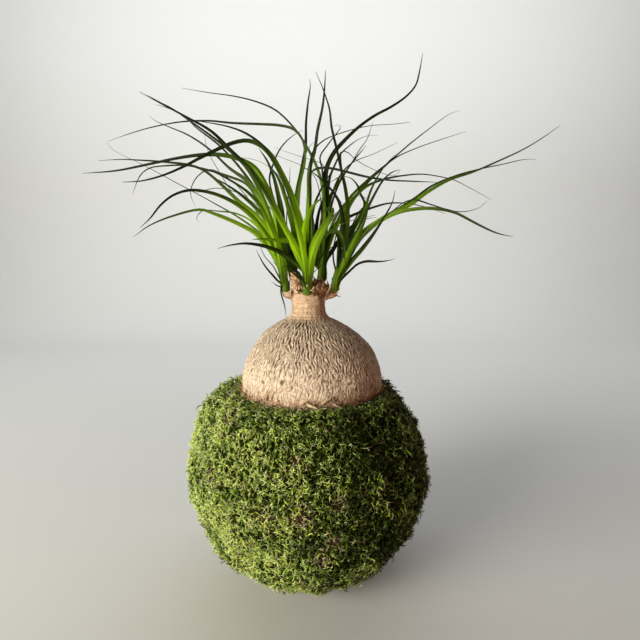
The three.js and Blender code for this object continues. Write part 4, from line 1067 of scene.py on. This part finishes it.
def pits_at(co):
    """How far in a pit each point of the bark lies: 0 is outside and 1 its middle. The points are in
    mm and don't lean yet."""
    pits = np.zeros(len(co))
    away = co + [TRUNK_LEAN_MM, 0, 0] - EYE
    for place, wide in PITS_MM:
        ray = sight(*place)
        miss = np.linalg.norm(away - np.outer(away @ ray, ray), axis=1)
        pits += np.exp(-(miss / wide) ** 2) * (co[:, 1] < 0)
    return pits


def leaf_scars(rng, points, settings, uneven):
    """Rings at points in mm, uneven by so many mm: 1 on a scar and 0 between scars."""
    phase = (points[:, 2] + waves(rng, points, (14, 40), uneven)) * MM / settings.ring_pitch
    return smoothstep(np.cos(phase * 2 * math.pi), 0.35, 1.0)


def trunk_body(settings):
    """Bulb and neck turned from their outline, with cracked cork and rings of leaf scars."""
    curve = smooth_path(BULB_MM, step=0.62)
    # The part inside the moss has an eighth of the stations
    shown = curve[:, 1] > MOSS_LINE_MM - 5
    outline = np.vstack([curve[~shown][::8], curve[shown]])
    # It closes on the axis, above inside the crown
    outline = np.vstack([[0, outline[0, 1] - 0.3], outline, [6, 206.5], [0, 207]])
    mesh = turned("trunk_bark", outline, settings.sides)
    co = rows_of(mesh, "co") / MM
    outward = rows_of(mesh, "normal")
    radius = np.hypot(co[:, 0], co[:, 1])
    angle = np.arctan2(co[:, 1], co[:, 0]) / (2 * math.pi) + 0.5
    z = co[:, 2]
    path = np.concatenate([[0], np.cumsum(np.linalg.norm(np.diff(curve, axis=0), axis=1))])
    reach = np.interp(z, curve[:, 1], path)

    rng = np.random.default_rng(settings.seed)
    wave, firm = cork_waves(rng, co, angle, reach, path[-1], settings)
    # Cracks are widest and deepest on the shoulder, and parts of the bulb's foot are smooth
    shoulder = smoothstep(z, 150, 168)
    narrow = 0.54 - 0.16 * smoothstep(z, 148, 168)
    crack = smoothstep(-wave - narrow, 0.0, 0.5)
    crack *= firm * smoothstep(waves(rng, co, (4, 12), 1.0), -1.6, 0.6)
    on_bulb = smoothstep(radius, 12.5, 19)
    smoother = smoothstep(waves(rng, co, (35, 70), 0.7) + (156 - z) / 12, 0.0, 1.8)
    crack *= on_bulb * (1 - 0.8 * smoother) * (0.85 + 1.05 * shoulder)
    # ridge is the raised cork between the cracks and also the mask of a painted highlight on it, stronger
    # on the shoulder
    ridge = smoothstep(wave, 0.35, 0.95) * firm * on_bulb * (1 - 0.6 * smoother)
    ridge *= 0.65 + 0.5 * shoulder
    lumps = waves(rng, co, (12, 40), 0.16) * on_bulb + waves(rng, co, (1.6, 4.0), 0.13)
    relief = lumps + 0.14 * ridge - settings.crack_depth / MM * crack
    pits = pits_at(co)
    relief -= 0.7 * pits
    ring = leaf_scars(rng, co, settings, 0.35) * (1 - on_bulb) * (z > 150)
    relief -= 0.3 * ring
    co += outward * relief[:, None]
    co[:, 0] += TRUNK_LEAN_MM * (1 - smoothstep(co[:, 2], *LEAN_TOP_MM))
    mesh.vertices.foreach_set("co", (co * MM).ravel())
    damp = smoothstep(-z + waves(rng, co, (3, 12), 2.2), -MOSS_LINE_MM - 6, -MOSS_LINE_MM)
    # The crack mask darkens cracks and pits as painted shade as well, more than their depth alone and
    # most on the shoulder
    store(mesh, "crack", np.clip(1.3 * crack + pits, 0, 1))
    store(mesh, "ridge", ridge)
    store(mesh, "bulb", on_bulb)
    # The bark's own coordinates: round a cylinder as wide as the bulb, and up along its outline,
    # where patterns are three times as long
    turn = angle * 2 * math.pi
    cork = [BULB_RADIUS_MM * np.cos(turn), BULB_RADIUS_MM * np.sin(turn), 0.35 * reach]
    store(mesh, "cork", np.stack(cork, axis=1) * MM)
    store(mesh, "scar", ring * 0.55)
    store(mesh, "rust", 0.6 * damp)
    store(mesh, "weather", 0.6 * smoothstep(z, 152, 174) * on_bulb)
    mesh.update()
    return mesh


def crown_body(settings):
    """Top of the neck with the lumps that carry the shoots and the stub of one that was cut,
    grown together."""
    bm = bmesh.new()
    for place, size in CROWN_LUMPS_MM:
        at = Matrix.Translation(Vector(place) * MM) @ Matrix.Diagonal((*(s * MM for s in size), 1))
        bmesh.ops.create_icosphere(bm, subdivisions=4, radius=1, matrix=at)
    bmesh.ops.create_cone(bm, cap_ends=True, segments=64, radius1=11.5 * MM, radius2=11.6 * MM,
        depth=9 * MM, matrix=Matrix.Translation((0, 0, 199.4 * MM)))
    tube(bm, [Vector(p) * MM for p, _ in CUT_STUB_MM], [r * MM for _, r in CUT_STUB_MM], 24)
    lumps = linked("crown_lumps", mesh_from(bm, "crown_lumps"))
    skin = lumps.modifiers.new("Skin", "REMESH")
    skin.mode = "VOXEL"
    skin.voxel_size = 0.5 * MM
    soft = lumps.modifiers.new("Soften", "SMOOTH")
    soft.iterations = 6
    depsgraph = bpy.context.evaluated_depsgraph_get()
    grown = bpy.data.meshes.new_from_object(lumps.evaluated_get(depsgraph))
    grown.name = "trunk_crown"
    bpy.data.objects.remove(lumps)
    co = rows_of(grown, "co") / MM
    rng = np.random.default_rng(settings.seed + 3)
    ring = leaf_scars(rng, co, settings, 0.5) * (1 - smoothstep(co[:, 2], 203, 208))
    # Its top is dry, and its right side torn
    dry = smoothstep(co[:, 2], 203, 210)
    torn = smoothstep(co[:, 0] + waves(rng, co, (2, 6), 1.2), 2.5, 6) * smoothstep(co[:, 2], 201, 205)
    torn = np.maximum(torn, 0.75 * smoothstep(co[:, 2] + waves(rng, co, (2, 6), 1.0), 205, 212))
    relief = waves(rng, co, (3, 8), 0.16)
    relief += np.maximum(dry, torn) * waves(rng, co, (1.6, 3.6), 0.3) - 0.24 * ring
    co += rows_of(grown, "normal") * relief[:, None]
    grown.vertices.foreach_set("co", (co * MM).ravel())
    store(grown, "scar", ring * 0.5)
    store(grown, "rust", torn)
    grown.update()
    return grown


def roots_body():
    """Thick roots under the bulb, hidden in the soil."""
    count = 6
    bottom = BULB_MM[1][1]
    stations = [(16, bottom + 8), (21, bottom - 6), (25, bottom - 24)]
    radii = np.linspace(4.0, 1.4, 12) * MM
    bm = bmesh.new()
    for i in range(count):
        angle = (i + 0.3) / count * 2 * math.pi
        path = smooth_path([(TRUNK_LEAN_MM + r * math.cos(angle), r * math.sin(angle), z)
            for r, z in stations], count=len(radii))
        tube(bm, path * MM, radii, 12)
    return mesh_from(bm, "trunk_roots")


# Dry scales: foot and tip in mm, width in mm and tint from 0 (rust) to 1 (straw)
DRY_SCALES_MM = [
    ((6, -8, 202), (6.0, -9.2, 211), 4.4, 0.45),
    ((9.5, -6.5, 203), (10.6, -8.2, 213), 4.0, 0.2),
    ((4.6, -4.4, 206), (3.4, -5.2, 216), 3.6, 0.6),
    ((8, -3.4, 206), (8.6, -4.4, 216), 4.4, 0.35),
    ((11.5, -6.5, 201.5), (14.0, -9, 208.6), 3.6, 0.65),
    ((13, -1, 203), (12.4, 0.5, 214), 4.0, 0.3),
    ((17.5, -3.5, 202.6), (22.5, -5, 201.4), 2.0, 0.25),
    ((16.5, -5, 203.5), (20.5, -7.5, 205.5), 1.8, 0.35),
    ((-12, 1, 204), (-12.5, 2.5, 214), 4.0, 0.5),
    ((0, 4, 206), (0, 5, 217), 5.0, 0.4),
    ((3.4, -8.6, 203.4), (3.8, -10, 209.5), 3.2, 0.75),
    ((12.4, -6.8, 204.6), (15.2, -7.8, 211), 3.0, 0.85),
    ((7.6, -8.2, 201), (9.6, -9.8, 206.5), 3.8, 0.15),
    ((-5.6, -6.6, 203.4), (-6, -7.6, 209), 3.0, 0.75),
    ((-10.6, -5, 202.6), (-11.6, -6.4, 207), 3.0, 0.7),
    ((-3.4, 9.4, 203), (-3.6, 10.4, 211), 4.4, 0.4),
    ((3.6, 9.6, 204), (3.4, 11, 213), 4.4, 0.3),
    ((11, 6.2, 203), (13.4, 7.4, 212), 4.0, 0.35),
]


def husk(bm, foot, tip, wide, bow, ragged, thick, steps, rng):
    """One papery scale from foot to tip, in mm, cupped round what it grew on."""
    foot, tip = np.array(foot, float), np.array(tip, float)
    s = np.linspace(0, 1, steps + 1)
    outward = unit(np.array([foot[0], foot[1], 0.0]))
    across = unit(np.cross(tip - foot, outward))
    path = foot + (tip - foot) * s[:, None] + outward * (bow * np.sin(s * math.pi))[:, None]
    path += rng.normal(scale=0.12, size=path.shape)
    shape = np.interp(s, [0, 0.3, 0.7, 1], [0.85, 1, 0.7, 0.1])
    half = wide / 2 * shape * (1 + ragged * rng.uniform(-1, 1, steps + 1))
    return strap(bm, path * MM, np.tile(across, (steps + 1, 1)), half * MM, -0.4 * half * MM,
        np.interp(s, [0, 1], [thick, thick * 0.4]) * MM, 4 if steps > 6 else 2)


def crown_scales(bm, tint, rng):
    """Dry scales that stand round the crown."""
    for foot, tip, wide, shade in DRY_SCALES_MM:
        for vert, s, _ in husk(bm, foot, tip, wide, 0.8, 0.3, 0.45, 9, rng):
            vert[tint] = np.clip(shade + 0.3 * s + rng.uniform(-0.08, 0.08), 0, 1)


def frayed_fibres(bm, tint, rng):
    """Fibres among the scales, most of them in the gap between the front and the right shoot."""
    count = 150
    for _ in range(count):
        angle = rng.normal(-0.95, 0.55) if rng.uniform() < 0.65 else rng.uniform(0, 2 * math.pi)
        reach = rng.uniform(7.5, 11.5)
        foot = np.array([reach * math.cos(angle), reach * math.sin(angle), rng.uniform(202, 208)])
        lean = rng.normal(scale=1.6, size=3) + [math.cos(angle) * 1.2, math.sin(angle) * 1.2, 0]
        tip = foot + lean + [0, 0, rng.uniform(1, 5)]
        shade = rng.uniform(0.1, 1.0)
        wide = rng.uniform(0.5, 1.9)
        for vert, _, _ in husk(bm, foot, tip, wide, rng.uniform(0, 1.2), 0.35, 0.3, 6, rng):
            vert[tint] = shade


def bark_curls(bm, tint, rng):
    """Curls of bark that peel off along the moss."""
    count = 170
    # The radii and heights of the bulb there
    reaches, heights = zip(*BULB_MM[4:9])
    for i in range(count):
        angle = (i + rng.uniform(-0.5, 0.5)) / count * 2 * math.pi
        long = rng.uniform() < 0.25
        high = MOSS_LINE_MM + (rng.uniform(0.5, 3) if long else rng.uniform(-3.5, 1.5))
        radial = np.array([math.cos(angle), math.sin(angle), 0])
        round_it = np.array([-math.sin(angle), math.cos(angle), 0])
        foot = np.array([TRUNK_LEAN_MM, 0, high]) + radial * (np.interp(high, heights, reaches) - 0.2)
        length = rng.uniform(6, 10) if long else rng.uniform(2.0, 6.0)
        lie = rng.normal(scale=0.9)
        tip = foot + length * (round_it * math.sin(lie) + np.array([0, 0, 0.7 * math.cos(lie)]))
        tip += radial * (rng.uniform(2.5, 5) if long else rng.uniform(0.5, 2.8))
        shade = rng.uniform(0.8 if long else 0.3, 1.0)
        wide = rng.uniform(1.0, 1.9) if long else rng.uniform(0.6, 1.7)
        for vert, _, _ in husk(bm, foot, tip, wide, rng.uniform(0.0, 1.2), 0.3, 0.22, 6, rng):
            vert[tint] = shade


def husks_body(settings):
    """All that is dry and papery on the trunk."""
    rng = np.random.default_rng(settings.seed + 7)
    bm = bmesh.new()
    tint = bm.verts.layers.float.new("tint")
    crown_scales(bm, tint, rng)
    frayed_fibres(bm, tint, rng)
    bark_curls(bm, tint, rng)
    return mesh_from(bm, "trunk_husks")


class KOKEDAMA_OT_trunk(bpy.types.Operator):
    """Turns the trunk with its cracked bark and adds its crown, roots and dry scales"""
    bl_idname = "kokedama.trunk"
    bl_label = "Trunk"

    def execute(self, context):
        settings = context.scene.kokedama_trunk
        bark = bark_material()
        piece("trunk_bark", trunk_body(settings), bark, "bark", "trunk")
        piece("trunk_crown", crown_body(settings), crown_material(), "bark", "trunk")
        piece("trunk_roots", roots_body(), bark, "bark", "trunk")
        piece("trunk_husks", husks_body(settings), husk_material(), "bark", "trunk")
        return {"FINISHED"}


# Leaves


class LeafSettings(bpy.types.PropertyGroup):
    station: FloatProperty(
        name="Step", description="Length of one step along a leaf", default=3.2 * MM, unit="LENGTH")
    thickness: FloatProperty(
        name="Thickness", description="Thickness of a leaf at its middle line",
        default=0.36 * MM, unit="LENGTH")
    fold: FloatProperty(
        name="Channel", description="How steeply the halves of a leaf stand up near its foot",
        default=math.radians(34), subtype="ANGLE")
    seed: IntProperty(name="Seed", description="Draw of the small differences", default=3)


def leaf_route(shoot, index, leaf):
    """The route of a leaf in mm: its foot in the stalk and then its points at their depths."""
    _, depth, _, _, route = leaf
    foot = np.array(shoot["foot"], float)
    second = seen(*shoot["stalk"][1], foot[1])
    # Leaves leave the stalk at eight heights, mixed so that those next to each other aren't level
    start = foot + (second - foot) * (-0.05 + 0.5 * ((index * 5) % 8) / 8)
    flat = np.array([(start[0], start[2]), *route])
    reach = np.cumsum(np.linalg.norm(np.diff(flat, axis=0), axis=1))
    share = (reach / reach[-1]) ** LEAF_FLARE
    points = [seen(x, z, foot[1] + (depth - foot[1]) * s) for (x, z), s in zip(route, share)]
    # A leaf clasps the stalk on the side that it leans to
    away = shoot["radii"][0] * unit((points[-1] - start) * [1, 1, 0])
    clasp = start + (second - foot) * 0.22 + away * 0.72
    return np.array([start + away * 0.35, clasp, *points])


def blade(bm, layers, points, leaf, settings, rng):
    """One leaf: a channelled strap, level across its heading and turned about its own length."""
    wide, _, turns, lit_tone, _ = leaf
    path = smooth_path(points, step=settings.station / MM)
    s = np.linspace(0, 1, len(path))
    length = len(path) * settings.station / MM
    heading = points[-1] - points[0]
    level = unit(np.array([-heading[1], heading[0], 0.0]))
    along = unit(np.gradient(path, axis=0))
    across = unit(level - along * (along @ level)[:, None])
    sway = 7 * np.sin(s * rng.uniform(4, 9) + rng.uniform(0, 6))
    angle = np.radians(turns[0] + (turns[1] - turns[0]) * s + sway)[:, None]
    across = across * np.cos(angle) + np.cross(along, across) * np.sin(angle)
    # A long leaf tapers over its whole length, a short one only towards its tip
    long = smoothstep(length, 70, 130)
    stations = [0, 0.06, 0.2, 0.4, 0.6, 0.8, 0.92, 1]
    slim = np.interp(s, stations, [0.6, 0.72, 1.0, 0.72, 0.48, 0.33, 0.21, 0.05])
    short = np.interp(s, stations, [0.6, 0.72, 1.0, 1.0, 0.82, 0.5, 0.26, 0.04])
    half = wide / 2 * (slim * long + short * (1 - long))
    half *= 1 + 0.04 * np.sin(s * rng.uniform(15, 30) + rng.uniform(0, 6))
    fold = settings.fold * np.interp(s, [0, 0.12, 0.5, 1], [1.3, 1, 0.45, 0.6])
    thick = settings.thickness * np.interp(s, [0, 0.15, 1], [2.0, 1, 0.35])
    spots = strap(bm, path * MM, across, half * MM, half * np.tan(fold) * MM, thick, 4)
    shade = float(np.clip(0.5 + 1.7 * (lit_tone - 0.45) + rng.uniform(-0.1, 0.1), 0, 1))
    # Short young leaves keep the bright colour of a long one's lower part, but leaves of dark tone, which
    # is painted shade, use the whole ramp out to its near-black however short they are. Those of the
    # brightest tone are olive right out to their tips, with less of the painted light
    age = min(1.0, length / 160) if lit_tone > 0.2 else 1.0
    if lit_tone > 0.91:
        age, shade = 0.75 * age, 0.55 * shade
    # Each vertex keeps where it lies on the leaf, and in tint the leaf's painted light
    for vert, share, u in spots:
        vert[layers[0]] = share * age
        vert[layers[1]] = u
        vert[layers[2]] = shade
    # The keel and the margins are sharp
    for line in (-1, 0, 1):
        ridge = {vert for vert, _, u in spots if abs(u - line) < 0.01}
        for edge in {e for vert in ridge for e in vert.link_edges}:
            if ridge.issuperset(edge.verts):
                edge.smooth = False


def shoot_body(name, settings):
    """A shoot's stalk with all its leaves."""
    shoot = SHOOTS[name]
    rng = np.random.default_rng(settings.seed + len(name) * 7 + len(shoot["leaves"]))
    bm = bmesh.new()
    layers = [bm.verts.layers.float.new(n) for n in ("along", "across", "tint")]
    foot = np.array(shoot["foot"], float)
    rings = 14
    centres = smooth_path([foot, *(seen(x, z, foot[1]) for x, z in shoot["stalk"])], count=rings)
    radii = np.interp(np.linspace(0, 3, rings), range(4), shoot["radii"])
    # It is hidden by its leaves higher up, and is slimmer than the solid there
    radii *= np.linspace(1.0, 0.4, rings)
    # Its foot is round and sunk into the knob that carries it
    below = np.array([[0, 0, -2.2], [0, 0, -1.8], [0, 0, -1.0]])
    centres = np.vstack([centres[0] + below, centres])
    radii = np.concatenate([radii[0] * np.array([0.3, 0.6, 0.86]), radii])
    for k, ring in enumerate(tube(bm, centres * MM, radii * MM, 20)):
        for vert in ring:
            vert[layers[0]] = 0.014 * k
            vert[layers[1]] = 0.6
            vert[layers[2]] = 0.4
    for index, leaf in enumerate(shoot["leaves"]):
        blade(bm, layers, leaf_route(shoot, index, leaf), leaf, settings, rng)
    return mesh_from(bm, name + "_leaves")


class KOKEDAMA_OT_shoots(bpy.types.Operator):
    """Grows the five shoots with their arching leaves"""
    bl_idname = "kokedama.shoots"
    bl_label = "Shoots"

    def execute(self, context):
        settings = context.scene.kokedama_leaves
        leaf = leaf_material()
        for name in SHOOTS:
            piece(name + "_leaves", shoot_body(name, settings), leaf, "leaf", name)
        return {"FINISHED"}


class KOKEDAMA_OT_soil(bpy.types.Operator):
    """Gives the hidden soil ball its finish"""
    bl_idname = "kokedama.soil"
    bl_label = "Soil"

    def execute(self, context):
        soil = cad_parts["soil_ball"]
        soil.data.materials.clear()
        soil.data.materials.append(soil_material())
        return {"FINISHED"}


# Stage


class StageSettings(bpy.types.PropertyGroup):
    key: FloatProperty(
        name="Key light", description="Power of the window-like light on the left",
        default=24.5, min=0, unit="POWER")
    fill: FloatProperty(
        name="Fill light", description="Power of the weak warm light from the right",
        default=1.6, min=0, unit="POWER")
    back: FloatProperty(
        name="Back light", description="Power of the light that falls on the paper alone",
        default=18.0, min=0, unit="POWER")
    sky: FloatVectorProperty(
        name="Sky", description="Colour of the light all round", subtype="COLOR",
        default=linear("#f6e0c6")[:3], min=0, max=1)
    sky_strength: FloatProperty(
        name="Sky strength", description="Strength of the light all round", default=0.032, min=0)


# The studio paper in m: its front edge, where it begins to bend up, the radius of that bend, its top
# and its width
PAPER_FRONT = -2.5
PAPER_BACK = 0.9
BEND = 0.5
PAPER_TOP = 3.0
PAPER_WIDTH = 6.0


def backdrop_body():
    """Studio paper that lies on the floor and bends up behind the plant."""
    bend = [(PAPER_BACK + BEND * math.sin(a), BEND - BEND * math.cos(a))
        for a in np.linspace(0, math.pi / 2, 16)]
    outline = [(PAPER_FRONT, 0.0), *bend, (PAPER_BACK + BEND, PAPER_TOP)]
    bm = bmesh.new()
    verts = [bm.verts.new((-PAPER_WIDTH / 2, y, z)) for y, z in outline]
    edges = [bm.edges.new(pair) for pair in zip(verts, verts[1:])]
    moved = bmesh.ops.extrude_edge_only(bm, edges=edges)["geom"]
    far = [g for g in moved if isinstance(g, bmesh.types.BMVert)]
    bmesh.ops.translate(bm, verts=far, vec=(PAPER_WIDTH, 0, 0))
    mesh = mesh_from(bm, "backdrop")
    mesh.materials.append(stage_material())
    mesh.polygons.foreach_set("use_smooth", np.ones(len(mesh.polygons), bool))
    return mesh


def area_light(name, place, target, size, power, colour):
    """A lamp of that size in m, power in W and colour, which faces its target."""
    light = bpy.data.lights.new(name, "AREA")
    light.shape = "RECTANGLE"
    light.size, light.size_y = size
    light.energy = power
    light.color = linear(colour)[:3]
    obj = linked(name, light)
    obj.location = place
    obj.rotation_euler = (Vector(target) - Vector(place)).to_track_quat("-Z", "Y").to_euler()
    return obj


class KOKEDAMA_OT_stage(bpy.types.Operator):
    """Sets the pale floor, the soft lights and the camera"""
    bl_idname = "kokedama.stage"
    bl_label = "Stage"

    def execute(self, context):
        settings = context.scene.kokedama_stage
        scene = context.scene
        backdrop = linked("backdrop", backdrop_body())
        middle = (0, 0, 0.17)
        lights = [
            area_light("key", (-0.88, -0.78, 0.32), middle, (0.7, 0.7), settings.key, "#fff9f0"),
            area_light("fill", (0.8, -0.9, 0.15), middle, (0.8, 0.5), settings.fill, "#ff7a26"),
            area_light("back", (0, 0.5, 1.3), (0, 1.4, 0.5), (2.4, 0.4), settings.back, "#eff5ff"),
        ]
        world = scene.world or bpy.data.worlds.new("World")
        scene.world = world
        world.use_nodes = True
        sky = world.node_tree.nodes["Background"]
        sky.inputs["Color"].default_value = (*settings.sky, 1)
        sky.inputs["Strength"].default_value = settings.sky_strength
        lens = bpy.data.cameras.new("camera")
        lens.lens = CAMERA_LENS
        lens.clip_start = 0.01
        camera = linked("camera", lens)
        camera.location = Vector(EYE) * MM
        camera.rotation_euler = (math.radians(90 - CAMERA_TILT), 0, 0)
        scene.camera = camera
        scene.view_settings.view_transform = "Standard"
        return {"FINISHED"}


# Sidebar and start


class KOKEDAMA_PT_panel(bpy.types.Panel):
    """Lists the pieces with their settings"""
    bl_idname = "KOKEDAMA_PT_panel"
    bl_label = "Kokedama"
    bl_space_type = "VIEW_3D"
    bl_region_type = "UI"
    bl_category = "Kokedama"

    def draw(self, context):
        for operator, group in PANEL_ROWS:
            box = self.layout.box()
            box.operator(operator.bl_idname)
            if group:
                settings = getattr(context.scene, group)
                for name in settings.__annotations__:
                    box.prop(settings, name)


GROUPS = {
    "kokedama_moss": MossSettings,
    "kokedama_trunk": TrunkSettings,
    "kokedama_leaves": LeafSettings,
    "kokedama_stage": StageSettings,
}
PANEL_ROWS = [
    (KOKEDAMA_OT_soil, None),
    (KOKEDAMA_OT_moss, "kokedama_moss"),
    (KOKEDAMA_OT_trunk, "kokedama_trunk"),
    (KOKEDAMA_OT_shoots, "kokedama_leaves"),
    (KOKEDAMA_OT_stage, "kokedama_stage"),
]
CLASSES = [*GROUPS.values(), *(row[0] for row in PANEL_ROWS), KOKEDAMA_PT_panel]


def register():
    for cls in CLASSES:
        bpy.utils.register_class(cls)
    for name, group in GROUPS.items():
        setattr(bpy.types.Scene, name, PointerProperty(type=group))


def unregister():
    for name in GROUPS:
        delattr(bpy.types.Scene, name)
    for cls in reversed(CLASSES):
        bpy.utils.unregister_class(cls)


def main():
    register()
    bpy.ops.kokedama.soil()
    bpy.ops.kokedama.moss()
    bpy.ops.kokedama.trunk()
    bpy.ops.kokedama.shoots()
    bpy.ops.kokedama.stage()


if __name__ == "__main__":
    main()
